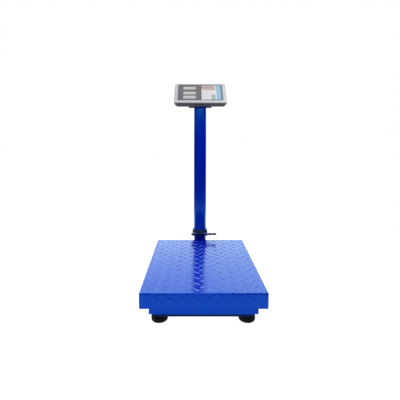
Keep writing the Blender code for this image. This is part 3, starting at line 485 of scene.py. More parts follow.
def joined(*meshes):
    """Several closed shapes in one mesh."""
    shape = bmesh.new()
    for mesh in meshes:
        shape.from_mesh(mesh)
    mesh = bpy.data.meshes.new("joined")
    shape.to_mesh(mesh)
    shape.free()
    smooth_by_angle(mesh)
    return mesh


def placed(mesh, matrix):
    mesh.transform(matrix)
    return mesh


def hexagon(across, bottom, top):
    """Hexagon nut or bolt head, chamfered at both ends."""
    sides, chamfer_share, face_share = 36, 0.62, 0.97
    corner = across / math.sqrt(3)

    def loop(height, limit):
        points = []
        for i in range(sides):
            turn = math.tau * i / sides
            flat = across / 2 / math.cos((turn + math.pi / 6) % (math.pi / 3) - math.pi / 6)
            reach = min(flat, limit)
            points.append(Vector((reach * math.cos(turn), reach * math.sin(turn), height)))
        return points

    chamfer = (corner - across / 2) * chamfer_share
    face = across / 2 * face_share
    levels = ((bottom, face), (bottom + chamfer, corner), (top - chamfer, corner), (top, face))
    return stacked([loop(height, limit) for height, limit in levels])


rubber = finish_of(
    "black_foot_rubber", light=(0.005, 0.005, 0.006), dark=(0.002, 0.002, 0.003), rough=0.75, grain=0.0006,
    grain_depth=0.00003, patch=0.012, worn=(0.03, 0.03, 0.032), worn_reach=0.001, worn_amount=0.5, shine=0.12,
)
rib, rib_count, pad_sides = 0.0005, 32, 96
stud_radius, stud_pitch, collar_across = 0.0059, 0.00175, 0.0165
plated = finish_of(
    "zinc_plate", light=(0.62, 0.63, 0.66), dark=(0.36, 0.37, 0.39), rough=0.36, rough_spread=0.12,
    grain=0.0004, grain_depth=0.00001, patch=0.006, metallic=1.0,
)
for corner in ("fl", "fr", "rl", "rr"):
    low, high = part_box("foot_pad_" + corner)
    middle = (low + high) / 2
    radius = (high.x - low.x) / 2
    top = high.z
    profile = [
        (0.0075, top - 0.0098, 0), (0.0075, top - 0.0012, 0), (0.0083, top - 0.0002, 0), (0.0100, top, 0),
        (radius - 0.0088, top, 0), (radius - 0.0056, top - 0.0008, 0), (radius - 0.0030, top - 0.0030, 0),
        (radius - 0.0010, top - 0.0062, 0), (radius - rib, top - 0.0085, 0),
        (radius - rib, top - 0.0095, rib), (radius - rib, 0.0065, rib), (radius - rib, 0.0056, 0),
        (radius - 0.0003, 0.0042, 0),
        (radius - 0.0009, 0.0018, 0), (radius - 0.0024, 0.0004, 0), (radius - 0.0044, 0.0, 0),
    ]
    loops = [circle_loop(r, z, pad_sides, wave, rib_count) for r, z, wave in reversed(profile)]
    pad = placed(stacked(loops), Matrix.Translation((middle.x, middle.y, 0)))
    fit_piece("foot-pad-" + corner, pad, rubber, "foot_" + corner, "black_rubber", "foot_pad_" + corner)
    low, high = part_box("foot_stud_" + corner)
    shank = threaded_rod(stud_radius, low.z + 0.0004, high.z, stud_pitch)
    collar = hexagon(collar_across, top + 0.0003, top + 0.0079)
    washer = stacked([circle_loop(0.0078, top + 0.0002, 32), circle_loop(0.0078, top + 0.0006, 32)])
    stud = placed(joined(shank, collar, washer), Matrix.Translation((middle.x, middle.y, 0)))
    fit_piece("foot-stud-" + corner, stud, plated, "foot_" + corner, "zinc", "foot_stud_" + corner)


# Load cell: a milled aluminium bending beam between two zinc-plated spacers, one bolt at each end.
# It carries the whole deck, and its strain gauges sit in the linked round holes.
milled = finish_of(
    "milled_aluminium", light=(0.74, 0.75, 0.77), dark=(0.56, 0.57, 0.59), rough=0.34, rough_spread=0.08,
    grain=0.00025, grain_depth=0.000008, patch=0.01, metallic=1.0,
)
eased("load_cell", 0.0006, material=milled, slot="aluminium")
for node in ("cell_spacer_lower", "cell_spacer_upper"):
    eased(node, 0.0005, material=plated, slot="zinc")
bolt_radius, bolt_pitch, head_across, head_height = 0.005, 0.0015, 0.0139, 0.006
low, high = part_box("cell_bolt_lower")
middle = (low + high) / 2
head = hexagon(head_across, low.z, low.z + head_height)
shank = threaded_rod(bolt_radius, low.z + head_height, high.z, bolt_pitch)
place = Matrix.Translation((middle.x, middle.y, 0))
fit_piece("cell-bolt-lower", placed(joined(head, shank), place), plated, "base", "zinc", "cell_bolt_lower")
low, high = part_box("cell_bolt_upper")
middle = (low + high) / 2
place = Matrix.Translation((middle.x, middle.y, 0))
shank = threaded_rod(bolt_radius, low.z, high.z, bolt_pitch)
fit_piece("cell-bolt-upper", placed(shank, place), plated, "base", "zinc", "cell_bolt_upper")


# Carrier frame: box rails, flat cross members and a centre plate, welded up and painted with the
# rest. It spreads the load cell's push under the deck's sheet.
for node in ("carrier_rail_left", "carrier_rail_right"):
    eased(node, 0.0012, steps=3, material=enamel)
for node in ("carrier_cross_front", "carrier_cross_rear", "carrier_center_plate"):
    eased(node, 0.0006, material=enamel)


# Deck: 3 mm steel folded down on all four sides, its corners welded and ground, with a raised
# lentil tread rolled into the sheet before folding, and the same blue enamel over all of it.


def sheet_point(u, v, lift):
    """Where a point of the flat sheet lands once the four sides are folded down."""
    point = Vector((0, 0, 0))
    for axis, distance in ((0, u), (1, v)):
        half = (deck_high - deck_low)[axis] / 2
        flat = half - deck_bend
        past = abs(distance) - flat
        arc = deck_bend * math.pi / 2
        sign = math.copysign(1, distance)
        if past <= 0:
            point[axis] = distance
            continue
        turn = min(past / deck_bend, math.pi / 2)
        reach = deck_bend + lift
        point[axis] = sign * (flat + reach * math.sin(turn))
        point.z = reach * math.cos(turn) - deck_bend - max(0.0, past - arc)
    if point.z == 0:
        point.z = lift
    return point + Vector((deck_middle.x, deck_middle.y, deck_high.z))


deck_bend = 0.0045
sheet = 0.003
outer_corner, inner_corner, lip_ease = 0.0046, 0.0018, 0.0006
half_x = (deck_high.x - deck_low.x) / 2
half_y = (deck_high.y - deck_low.y) / 2


def rounded_loop(x0, x1, y0, y1, corner, height, steps=6):
    """A rounded rectangle, counter-clockwise from above."""
    loop = []
    for cx, cy, start in ((x1 - corner, y1 - corner, 0), (x0 + corner, y1 - corner, 90),
                          (x0 + corner, y0 + corner, 180), (x1 - corner, y0 + corner, 270)):
        for i in range(steps + 1):
            turn = math.radians(start + 90 * i / steps)
            loop.append(Vector((cx + corner * math.cos(turn), cy + corner * math.sin(turn), height)))
    return loop


def tray_loop(inset, height, corner):
    """One level of the deck's tray."""
    return rounded_loop(
        deck_low.x + inset, deck_high.x - inset, deck_low.y + inset, deck_high.y - inset, corner, height, 5
    )


tray_levels = []
for step in range(7):
    turn = math.radians(15 * step)
    inset = deck_bend * (1 - math.cos(turn))
    tray_levels.append(tray_loop(inset, deck_high.z - deck_bend * (1 - math.sin(turn)), outer_corner))
inner_bend = deck_bend - sheet
inside = []
for step in range(5):
    turn = math.radians(22.5 * step)
    inset = sheet + inner_bend * (1 - math.cos(turn))
    inside.append(tray_loop(inset, deck_high.z - sheet - inner_bend * (1 - math.sin(turn)), inner_corner))
bottom_edge = [
    tray_loop(sheet, deck_low.z + lip_ease, inner_corner), tray_loop(sheet - lip_ease, deck_low.z, 0.0024),
    tray_loop(lip_ease, deck_low.z, 0.0042), tray_loop(0.0, deck_low.z + lip_ease, outer_corner),
]
tray = stacked(list(reversed(inside)) + bottom_edge + tray_levels)


def tread_tree():
    """Two interleaved rows of lentil bosses, one leaning each way, made from the lentil given to the tree."""
    values = (("Columns", "Int"), ("Rows", "Int"), ("Pitch X", "Float"), ("Pitch Y", "Float"),
              ("Shift", "Vector"), ("Lean", "Float"), ("Paint", "Material"))
    tree, given, keys = new_tree("tread_bosses", "Lentil", values, "Tread")
    together = tree.nodes.new("GeometryNodeJoinGeometry")
    spans = [reckoned(tree, "MULTIPLY", reckoned(tree, "SUBTRACT", given[count], 1.0), given[pitch])
             for count, pitch in (("Columns", "Pitch X"), ("Rows", "Pitch Y"))]
    for sign in (-1, 1):
        lattice = tree.nodes.new("GeometryNodeMeshGrid")
        feed(tree, spans[0], lattice.inputs["Size X"])
        feed(tree, spans[1], lattice.inputs["Size Y"])
        feed(tree, given["Columns"], lattice.inputs["Vertices X"])
        feed(tree, given["Rows"], lattice.inputs["Vertices Y"])
        offset = tree.nodes.new("ShaderNodeVectorMath")
        offset.operation = "SCALE"
        offset.inputs["Scale"].default_value = sign
        feed(tree, given["Shift"], offset.inputs[0])
        shifted = tree.nodes.new("GeometryNodeTransform")
        feed(tree, lattice.outputs["Mesh"], shifted.inputs["Geometry"])
        feed(tree, offset.outputs["Vector"], shifted.inputs["Translation"])
        about_z = tree.nodes.new("ShaderNodeCombineXYZ")
        feed(tree, reckoned(tree, "MULTIPLY", given["Lean"], float(sign)), about_z.inputs["Z"])
        strike = tree.nodes.new("GeometryNodeInstanceOnPoints")
        feed(tree, shifted.outputs["Geometry"], strike.inputs["Points"])
        feed(tree, given["Lentil"], strike.inputs["Instance"])
        feed(tree, about_z.outputs["Vector"], strike.inputs["Rotation"])
        feed(tree, strike.outputs["Instances"], together.inputs["Geometry"])
    close_tree(tree, together.outputs["Geometry"], given["Paint"])
    return tree, keys


def lentil_mesh(length, width, height):
    """One boss: a pointed oval with a soft crown and a flat underside just below the sheet's face."""
    along, across, blunt_end, plan_power, crown_power, crown_round = 10, 6, 0.03, 2.2, 3.2, 0.75
    loops = []
    for i in range(along + 1):
        s = math.sin((-1 + 2 * i / along) * math.pi / 2)
        half = width / 2 * max(blunt_end, 1 - abs(s) ** plan_power)
        crown = height * max(0.0, 1 - abs(s) ** crown_power)
        loop = []
        for j in range(across + 1):
            t = -1 + 2 * j / across
            lift = crown * (0.5 + 0.5 * math.cos(math.pi * t)) ** crown_round
            loop.append(Vector((s * length / 2, t * half, lift)))
        loop.append(Vector((s * length / 2, half, -sunk)))
        loop.append(Vector((s * length / 2, -half, -sunk)))
        loops.append(loop)
    return stacked(loops)


tread_pitch_x, tread_pitch_y = 0.0421, 0.0415
boss_length, boss_width, boss_height, sunk = 0.032, 0.0088, 0.0011, 0.0004
tree, keys = tread_tree()
tread = set_down("deck-tread", lentil_mesh(boss_length, boss_width, boss_height))
run_tree(tread, tree, keys, {
    "Columns": 13, "Rows": 15, "Pitch X": tread_pitch_x, "Pitch Y": tread_pitch_y,
    "Shift": (-tread_pitch_x / 4, tread_pitch_y / 4, 0), "Lean": math.radians(-45), "Paint": enamel,
})
folded = bmesh.new()
folded.from_mesh(tread.data)
edge_room = 0.006
skirt_reach = deck_high.z - deck_low.z - edge_room
lattice_shift = Vector((-tread_pitch_x / 4, 0.0105, 0))
islands = []
waiting = set(folded.verts)
while waiting:
    island, edge = set(), [next(iter(waiting))]
    while edge:
        vertex = edge.pop()
        if vertex in island:
            continue
        island.add(vertex)
        edge += [link.other_vert(vertex) for link in vertex.link_edges]
    waiting -= island
    islands.append(sorted(island, key=lambda vertex: vertex.index))
for island in islands:
    places = [vertex.co + lattice_shift for vertex in island]
    past_x = max(abs(place.x) for place in places) - half_x
    past_y = max(abs(place.y) for place in places) - half_y
    if max(past_x, past_y) > skirt_reach or min(past_x, past_y) > -edge_room:
        bmesh.ops.delete(folded, geom=island, context="VERTS")
        continue
    for vertex, place in zip(island, places):
        vertex.co = sheet_point(place.x, place.y, place.z)
tread_mesh = bpy.data.meshes.new("deck-tread")
folded.to_mesh(tread_mesh)
folded.free()
bpy.data.objects.remove(tread)
smooth_by_angle(tread_mesh, 50)
fit_piece("deck-plate", joined(tray, tread_mesh), enamel, "base", "blue_paint", "deck_plate")


# Column bracket and stub post: a flange bolted to the rear beam, a shelf and two webs, with a short
# length of the column's own rounded tube welded to the shelf.
eased("column_bracket", 0.0006, material=enamel)
bolt_head, flange_radius, flange_height = 0.0052, 0.0072, 0.0012
for node in ("bracket_bolt_left", "bracket_bolt_right"):
    low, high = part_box(node)
    middle = (low + high) / 2
    head = hexagon(0.0125, -bolt_head, -0.0001)
    flange = stacked([circle_loop(flange_radius, -flange_height, 36), circle_loop(flange_radius, 0.0, 36)])
    shank = threaded_rod(0.0039, 0.0, high.y - low.y - bolt_head, 0.00125)
    turn = Matrix.Translation((middle.x, high.y - bolt_head, middle.z)) @ Matrix.Rotation(math.pi / 2, 4, "X")
    fit_piece(node.replace("_", "-"), placed(joined(head, flange, shank), turn), plated, "base", "zinc", node)

tube_corner = 0.014
tube_wall = 0.0025


def rounded_tube(low, high):
    """Rounded square tube with its cut ends lightly deburred."""
    ease = 0.0004
    loops = (
        (ease, low.z), (0, low.z + ease), (0, high.z - ease), (ease, high.z), (tube_wall - ease, high.z),
        (tube_wall, high.z - ease), (tube_wall, low.z + ease), (tube_wall - ease, low.z),
    )
    return stacked([
        rounded_loop(low.x + inset, high.x - inset, low.y + inset, high.y - inset,
                     tube_corner - inset, height, 10)
        for inset, height in loops
    ], closed_ring=True)


low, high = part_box("stub_post")
fit_piece("stub-post", rounded_tube(low, high), enamel, "base", "blue_paint", "stub_post")
bead_out, bead_up, post_bead = 0.0006, 0.0004, 0.0022
foot_run = rounded_loop(low.x - bead_out, high.x + bead_out, low.y - bead_out, high.y + bead_out, tube_corner,
                        low.z + bead_up)
weld_bead("stub-post-weld", [[tuple(point) for point in foot_run + foot_run[:1]]], post_bead)


# Fold joint: one cast block on the stub post and one on the column, painted dark, with interleaved
# knuckles at the front edge and sides drawn in towards the tubes they hold.
hinge_y = next(joint["pos_m"][1] for joint in frame["joints"] if joint["name"] == "column_fold")
hinge_z = next(joint["pos_m"][2] for joint in frame["joints"] if joint["name"] == "column_fold")
cast = finish_of(
    "dark_satin_casting", light=(0.004, 0.009, 0.050), dark=(0.002, 0.004, 0.026), rough=0.30, grain=0.0007,
    grain_depth=0.00005, patch=0.02, worn=(0.02, 0.035, 0.12), worn_amount=0.5, tint=(0.22, 0.38, 1.0),
)
cast_blue = finish_of(
    "dark_blue_casting", light=(0.006, 0.018, 0.20), dark=(0.003, 0.009, 0.13), rough=0.30, grain=0.0007,
    grain_depth=0.00005, patch=0.02, coat=0.5, coat_rough=0.2, worn=(0.05, 0.08, 0.30), worn_amount=0.5,
)


def carve(piece, mesh, operation):
    """Cuts a shape from a piece, or joins it on."""
    tool = set_down("tool", mesh)
    change = piece.modifiers.new("carve", "BOOLEAN")
    change.operation = operation
    change.solver = "EXACT"
    change.object = tool
    settled(piece)
    bpy.data.objects.remove(tool)


def bar_along_x(radius, start, end, y, z, sides=48):
    """A round bar along X."""
    bar = stacked([circle_loop(radius, start, sides), circle_loop(radius, end, sides)])
    turn = Matrix.Translation((0, y, z)) @ Matrix.Rotation(math.pi / 2, 4, "Y")
    return placed(bar, turn)


def block_between(low, high, corner=0.0004, steps=3):
    """A block with its upright edges rounded."""
    return stacked([
        rounded_loop(low[0], high[0], low[1], high[1], corner, height, steps) for height in (low[2], high[2])
    ])


def hinge_block(node, material, body, body_side, knuckles, taper, pull):
    """A hinge block: body drawn in towards the tube it holds, knuckles on their webs, tube seat and bore."""
    low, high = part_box(node)
    front = hinge_y + knuckle_reach
    tube_low, tube_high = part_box("column_tube" if body_side > 0 else "stub_post")
    near = hinge_z + body_side * 0.0003
    far = high.z if body_side > 0 else low.z
    levels = (
        (0.1, near), (0.0, near + body_side * 0.0007), (0.0, far - body_side * taper),
        (0.12, far - body_side * taper * 0.86), (0.85, far - body_side * taper * 0.12), (1.0, far),
    )
    loops = [rounded_loop(low.x + pull * share, high.x - pull * share, front + 0.0026 * share,
                          high.y - 0.0050 * share, 0.007 + 0.003 * share, height, 8)
             for share, height in levels]
    block = set_down("block", stacked(loops))
    for start, end in knuckles:
        carve(block, bar_along_x(knuckle_radius, start, end, hinge_y, hinge_z), "UNION")
        edge_z = sorted((hinge_z + body_side * 0.0004, hinge_z + body_side * 0.0078))
        web = block_between((start + 0.00005, hinge_y, edge_z[0]), (end - 0.00005, front + 0.004, edge_z[1]))
        carve(block, web, "UNION")
    seat_z = sorted((hinge_z + body_side * 0.0040, far + body_side * 0.01))
    seat = stacked([
        rounded_loop(tube_low.x - seat_gap, tube_high.x + seat_gap, tube_low.y - seat_gap,
                     tube_high.y + seat_gap, tube_corner + seat_gap, height, 10) for height in seat_z
    ])
    carve(block, seat, "DIFFERENCE")
    carve(block, bar_along_x(bolt_bore, -0.05, 0.05, hinge_y, hinge_z, 36), "DIFFERENCE")
    soften(block, 0.0005, 2, 40)
    smooth_by_angle(block.data, 35)
    settled(block)
    mesh = taken_off(block)
    smooth_by_angle(mesh, 35)
    fit_piece(node.replace("_", "-"), mesh, material, body, "dark_casting", node)


low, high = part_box("lower_hinge_block")
knuckle_half, knuckle_radius, knuckle_reach, knuckle_gap = 0.018, 0.0079, 0.0085, 0.0003
seat_gap, bolt_bore = 0.0002, 0.0043
outer_knuckles = ((low.x, -knuckle_half - knuckle_gap), (knuckle_half + knuckle_gap, high.x))
hinge_block("lower_hinge_block", cast_blue, "base", -1, outer_knuckles, 0.0115, 0.0070)
hinge_block("upper_hinge_block", cast, "column", 1, ((-knuckle_half, knuckle_half),), 0.0085, 0.0065)


# Hinge bolt: a chromed skewer through all the knuckles, with a domed nut on its left end and a flat
# eye on its right, where a short pin carries the locking lever's cam.
bright = finish_of(
    "bright_chrome", light=(0.86, 0.87, 0.89), dark=(0.72, 0.73, 0.76), rough=0.09, rough_spread=0.05,
    grain=0.0003, grain_depth=0.000004, patch=0.008, metallic=1.0,
)
eased("hinge_bolt", 0.0005, material=bright, slot="chrome")
eased("lever_pin", 0.0006, material=bright, slot="chrome")
low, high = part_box("hinge_nut")
dome = []
for step in range(9):
    turn = math.radians(90 * step / 8)
    dome.append(circle_loop(0.0006 + 0.0056 * math.cos(turn), 0.0042 + 0.0030 * math.sin(turn), 36))
cap = joined(hexagon(0.0130, 0.0, 0.0044), stacked(dome))
turn = Matrix.Translation((high.x, hinge_y, hinge_z)) @ Matrix.Rotation(-math.pi / 2, 4, "Y")
fit_piece("hinge-nut", placed(cap, turn), bright, "base", "chrome", "hinge_nut")


# Locking lever: glass-filled black nylon with a forked cam on the bolt's eye. Swung back along the
# post, its cam draws the knuckles together and locks the column upright.
nylon = finish_of(
    "black_nylon", light=(0.014, 0.014, 0.019), dark=(0.007, 0.007, 0.010), rough=0.44, grain=0.0005,
    grain_depth=0.00004, patch=0.02, worn=(0.05, 0.05, 0.06), worn_amount=0.4,
)
low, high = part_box("lock_lever")
pivot_x = next(joint["pos_m"][0] for joint in frame["joints"] if joint["name"] == "lock_lever_swing")
arm_root = pivot_x + 0.004
arm_thin, arm_swell, tip_starts, squareness, flatness = 0.0040, 0.0009, 0.82, 0.8, 0.96
rings = []
for step in range(17):
    s = step / 16
    x = arm_root + (high.x - arm_root) * s
    swell = arm_thin + arm_swell * min(1.0, max(0.0, (s - 0.1) / 0.3)) ** 1.2
    if s > tip_starts:
        swell *= math.sqrt(max(0.0, 1 - ((s - tip_starts) / (1 - tip_starts)) ** 2)) * 0.96 + 0.04
    ring = []
    for i in range(28):
        angle = math.tau * i / 28
        c, s = math.cos(angle), math.sin(angle)
        ring.append(Vector((x, hinge_y + math.copysign(abs(c) ** squareness, c) * swell * flatness,
                            hinge_z + math.copysign(abs(s) ** squareness, s) * swell)))
    rings.append(ring)
arm = stacked(rings)
cam_levels = [(0.0064, -0.0050), (0.0072, -0.0042), (0.0072, 0.0042), (0.0064, 0.0050)]
at_pivot = Matrix.Translation((pivot_x, hinge_y, hinge_z))
lever = set_down("lever", placed(stacked([circle_loop(r, z, 40) for r, z in cam_levels]), at_pivot))
carve(lever, arm, "UNION")
slot_half = 0.0023
slot_low = (pivot_x - 0.02, hinge_y - 0.012, hinge_z - slot_half)
carve(lever, block_between(slot_low, (pivot_x + 0.0068, hinge_y + 0.012, hinge_z + slot_half)), "DIFFERENCE")
pin_bore = 0.0024
pin_hole = stacked([circle_loop(pin_bore, -0.01, 24), circle_loop(pin_bore, 0.01, 24)])
carve(lever, placed(pin_hole, at_pivot), "DIFFERENCE")
lever_mesh = taken_off(lever)
smooth_by_angle(lever_mesh, 40)
fit_piece("lock-lever", lever_mesh, nylon, "lock_lever", "black_plastic", "lock_lever")


# Column: rounded square steel tube in the same enamel, standing in the upper hinge block and closed
# at the top by a plug that takes the head bracket's screws.
low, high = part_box("column_tube")
fit_piece("column-tube", rounded_tube(low, high), enamel, "column", "blue_paint", "column_tube")
eased("column_top_plug", 0.0005, material=plated, body="column", slot="zinc")


# Head bracket: 3 mm strip bent to a U, its ears rounded, painted flat black. Two countersunk screws
# hold it to the plug, and the hand knobs' studs pass through its ears.
flat_black = finish_of(
    "flat_black_paint", light=(0.010, 0.010, 0.016), dark=(0.005, 0.005, 0.009), rough=0.6, grain=0.0006,
    grain_depth=0.00004, patch=0.02, worn=(0.05, 0.05, 0.06), worn_amount=0.4,
)
eased("head_bracket", 0.0006, steps=3, material=flat_black, body="column", slot="dark_casting")
for node in ("bracket_screw_left", "bracket_screw_right"):
    eased(node, 0.0002, material=plated, body="column", slot="zinc")


# Rear housing of the indicator: moulded dark grey plastic with a rounded back, a hump that carries
# the tilt knobs and holds the battery, cooling slots and four screws from behind.
lean = math.radians(43)
panel_low, panel_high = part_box("front_panel")
head_place = Matrix.Translation((0, panel_low.y, panel_low.z + 0.002 * math.sin(lean))) @ Matrix.Rotation(
    math.pi / 2 - lean, 4, "X"
)
head_back = head_place.inverted()
tilt = next(joint["pos_m"] for joint in frame["joints"] if joint["name"] == "head_tilt")
tilt_local = head_back @ Vector(tilt)
housing = finish_of(
    "dark_moulded_housing", light=(0.040, 0.036, 0.056), dark=(0.026, 0.023, 0.038), rough=0.5, grain=0.00045,
    grain_depth=0.00003, patch=0.03, worn=(0.12, 0.115, 0.13), worn_amount=0.3,
)
paint = housing.node_tree
end_band_starts, end_band_full = 0.1105, 0.1109
end_band = ranged(paint, reckoned(paint, "ABSOLUTE", place_on(paint, "X")), end_band_starts, end_band_full)
overpainted(housing, end_band, (0.17, 0.17, 0.18))
shell_half, shell_bottom, shell_top = 0.118, -0.018, 0.1195
shell_front, shell_rear, shell_wall = -0.0018, -0.0255, 0.0025


def shell_loops(inset, front, rear, round_edge):
    """The housing's tray, from its open front to its rounded back."""
    stations = [(0.0, 0.0055, front), (0.0, 0.0055, -0.0085), (0.0008, 0.0080, -0.0115)]
    for step in range(7):
        turn = math.radians(15 * step)
        pull = 0.0020 + round_edge * (1 - math.cos(turn))
        stations.append((pull, 0.0160, rear + round_edge * (1 - math.sin(turn))))
    loops = []
    for pull, corner, height in stations:
        cut_in = inset + pull
        loops.append(rounded_loop(-shell_half + cut_in, shell_half - cut_in, shell_bottom + cut_in,
                                  shell_top - cut_in, corner - inset, height, 8))
    return loops


def hump_loops(inset, half_width, ease):
    """The hump's outline swept across the housing, with its two side edges rounded."""
    loops = []
    ends = ((-half_width, ease), (-half_width + ease, 0), (half_width - ease, 0), (half_width, ease))
    for across, pull in ends:
        radius = hump_radius - inset - pull
        back = shell_rear + 0.002 + inset
        points = [(tilt_local.y - radius, back)]
        for step in range(25):
            turn = math.radians(180 + 135 * step / 24)
            points.append((tilt_local.y + radius * math.cos(turn), tilt_local.z + radius * math.sin(turn)))
        points.append((hump_top - (inset + pull) * 2.2, back))
        loops.append([Vector((across, y, z)) for y, z in points])
    return loops


hump_half, hump_radius, hump_top = 0.0502, 0.0215, 0.100
shell = set_down("shell", stacked(shell_loops(0, shell_front, shell_rear, 0.0055)))
carve(shell, stacked(hump_loops(0, hump_half, 0.0012)), "UNION")
carve(shell, stacked(shell_loops(shell_wall, 0.01, shell_rear + shell_wall, 0.0032)), "DIFFERENCE")
carve(shell, stacked(hump_loops(shell_wall, hump_half - shell_wall, 0.0005)), "DIFFERENCE")
carve(shell, bar_along_x(0.0033, -0.06, 0.06, tilt_local.y, tilt_local.z, 28), "DIFFERENCE")
rocker_x, rocker_y, socket_y, socket_hole_radius = 0.086, 0.060, 0.018, 0.0083
cut_from, cut_to = -0.04, -0.01
for x, half_wide, half_tall in ((rocker_x, 0.0068, 0.0105), (-rocker_x, 0.014, 0.010)):
    carve(shell, block_between((x - half_wide, rocker_y - half_tall, cut_from),
                               (x + half_wide, rocker_y + half_tall, cut_to)), "DIFFERENCE")
socket_hole = stacked([circle_loop(socket_hole_radius, z, 40) for z in (cut_from, cut_to)])
carve(shell, placed(socket_hole, Matrix.Translation((-rocker_x, socket_y, 0))), "DIFFERENCE")
slot_x, slot_long, slot_wide, slot_first, slot_step = 0.083, 0.016, 0.0009, 0.082, 0.0042
for side in (-1, 1):
    for row in range(6):
        y = slot_first + row * slot_step
        carve(shell, block_between((side * slot_x - slot_long, y - slot_wide, cut_from),
                                   (side * slot_x + slot_long, y + slot_wide, cut_to), 0.0008), "DIFFERENCE")
screw_span_x, screw_span_y, screw_middle_y, recess_depth = 0.200, 0.1065, 0.05025, 0.0014
for x, y in ((-1, -1), (1, -1), (-1, 1), (1, 1)):
    recess = stacked([circle_loop(0.0048, cut_from, 32), circle_loop(0.0042, shell_rear + recess_depth, 32)])
    place = Matrix.Translation((x * screw_span_x / 2, screw_middle_y + y * screw_span_y / 2, 0))
    carve(shell, placed(recess, place), "DIFFERENCE")
shell_mesh = placed(taken_off(shell), head_place)
smooth_by_angle(shell_mesh, 35)
fit_piece("rear-shell", shell_mesh, housing, "indicator", "black_plastic", "rear_shell")


def screw_tree():
    """Sets the screw given to the tree at each of the housing's four corners."""
    values = (("Span X", "Float"), ("Span Y", "Float"), ("Middle", "Vector"), ("Metal", "Material"))
    tree, given, keys = new_tree("housing_screws", "Screw", values, "Screws")
    corners = tree.nodes.new("GeometryNodeMeshGrid")
    corners.inputs["Vertices X"].default_value = 2
    corners.inputs["Vertices Y"].default_value = 2
    feed(tree, given["Span X"], corners.inputs["Size X"])
    feed(tree, given["Span Y"], corners.inputs["Size Y"])
    moved = tree.nodes.new("GeometryNodeTransform")
    feed(tree, corners.outputs["Mesh"], moved.inputs["Geometry"])
    feed(tree, given["Middle"], moved.inputs["Translation"])
    turned = tree.nodes.new("FunctionNodeRandomValue")
    turned.inputs["Seed"].default_value = 11
    turned.inputs[3].default_value = 1.5
    about_z = tree.nodes.new("ShaderNodeCombineXYZ")
    feed(tree, turned.outputs[1], about_z.inputs["Z"])
    drive = tree.nodes.new("GeometryNodeInstanceOnPoints")
    feed(tree, moved.outputs["Geometry"], drive.inputs["Points"])
    feed(tree, given["Screw"], drive.inputs["Instance"])
    feed(tree, about_z.outputs["Vector"], drive.inputs["Rotation"])
    close_tree(tree, drive.outputs["Instances"], given["Metal"])
    return tree, keys


head_levels = [(0.0036, 0.0), (0.0036, -0.0006), (0.0032, -0.0011), (0.0024, -0.0015), (0.0012, -0.0017)]
screws = set_down("screws", stacked([circle_loop(r, z, 28) for r, z in head_levels]))
slot_half_long, slot_half_wide = 0.0022, 0.00035
for long, wide in ((slot_half_long, slot_half_wide), (slot_half_wide, slot_half_long)):
    carve(screws, block_between((-long, -wide, -0.003), (long, wide, -0.0006), 0.0001, 2), "DIFFERENCE")
smooth_by_angle(screws.data, 35)
tree, keys = screw_tree()
run_tree(screws, tree, keys, {
    "Span X": screw_span_x, "Span Y": screw_span_y, "Middle": (0, screw_middle_y, shell_rear + recess_depth),
    "Metal": plated,
})
screw_mesh = placed(taken_off(screws), head_place)
smooth_by_angle(screw_mesh, 35)
fit_piece("housing-screws", screw_mesh, plated, "indicator", "zinc")


# Battery cover, power rocker, mains inlet and signal socket: small fittings in the back of the
# housing, moulded in black or turned from plated brass.
eased("battery_cover", 0.0005, material=housing, body="indicator", slot="black_plastic")
eased("power_inlet", 0.0004, material=nylon, body="indicator", slot="black_plastic")
eased("signal_socket", 0.0004, material=plated, body="indicator", slot="zinc")
eased("power_rocker", 0.0006, steps=3, material=nylon, body="power_rocker", slot="black_plastic")


# Front bezel: satin silver-grey moulding with a soft outer edge, wide below the panel and narrow
# above it, with a shallow step down to the panel all round its window.
silver = finish_of(
    "silver_grey_moulding", light=(0.47, 0.465, 0.49), dark=(0.41, 0.405, 0.43), rough=0.32, grain=0.0003,
    grain_depth=0.000012, patch=0.04, coat=0.25, coat_rough=0.15, worn=(0.58, 0.58, 0.58), worn_amount=0.3,
)
bezel_half, bezel_bottom, bezel_top = 0.1172, -0.017, 0.1187
bezel_face, bezel_back = 0.002, -0.0015
window_half, window_height = 0.1025, 0.1125


def bezel_outer(side_inset, inset, height):
    """One level of the bezel's outer edge."""
    return rounded_loop(-bezel_half + side_inset, bezel_half - side_inset, bezel_bottom + inset,
                        bezel_top - inset, 0.005, height, 8)


def bezel_inner(grow, height):
    """One level of the bezel's window edge."""
    return rounded_loop(-window_half - grow, window_half + grow, -grow, window_height + grow, 0.0012 + grow,
                        height, 8)


soft_side, soft_top, soft_depth, step_in, step_round = 0.0068, 0.0014, 0.0024, 0.0012, 0.0010
loops = [bezel_outer(0.0, 0.0, bezel_back)]
for step in range(6):
    turn = math.radians(18 * step)
    pull = 1 - math.cos(turn)
    loops.append(bezel_outer(soft_side * pull, soft_top * pull,
                             bezel_face - soft_depth * (1 - math.sin(turn))))
for step in range(5):
    turn = math.radians(22.5 * step)
    loops.append(bezel_inner(step_in + step_round * (1 - math.sin(turn)),
                             bezel_face - step_round * (1 - math.cos(turn))))
loops += [bezel_inner(0.0012, 0.0004), bezel_inner(0.0003, 0.0002), bezel_inner(0.0003, bezel_back)]
bezel = placed(stacked(loops, closed_ring=True), head_place)
fit_piece("front-bezel", bezel, silver, "indicator", "silver_plastic", "front_shell")


# Front panel: a dark grey printed film on its backing plate, with three display windows, each in a
# thin pale printed border.
film = finish_of(
    "dark_grey_film", light=(0.112, 0.107, 0.118), dark=(0.094, 0.090, 0.100), rough=0.40, grain=0.0002,
    grain_depth=0.000004, patch=0.03, shine=0.25,
)
eased("front_panel", 0.00015, material=film, body="indicator", slot="panel_film")


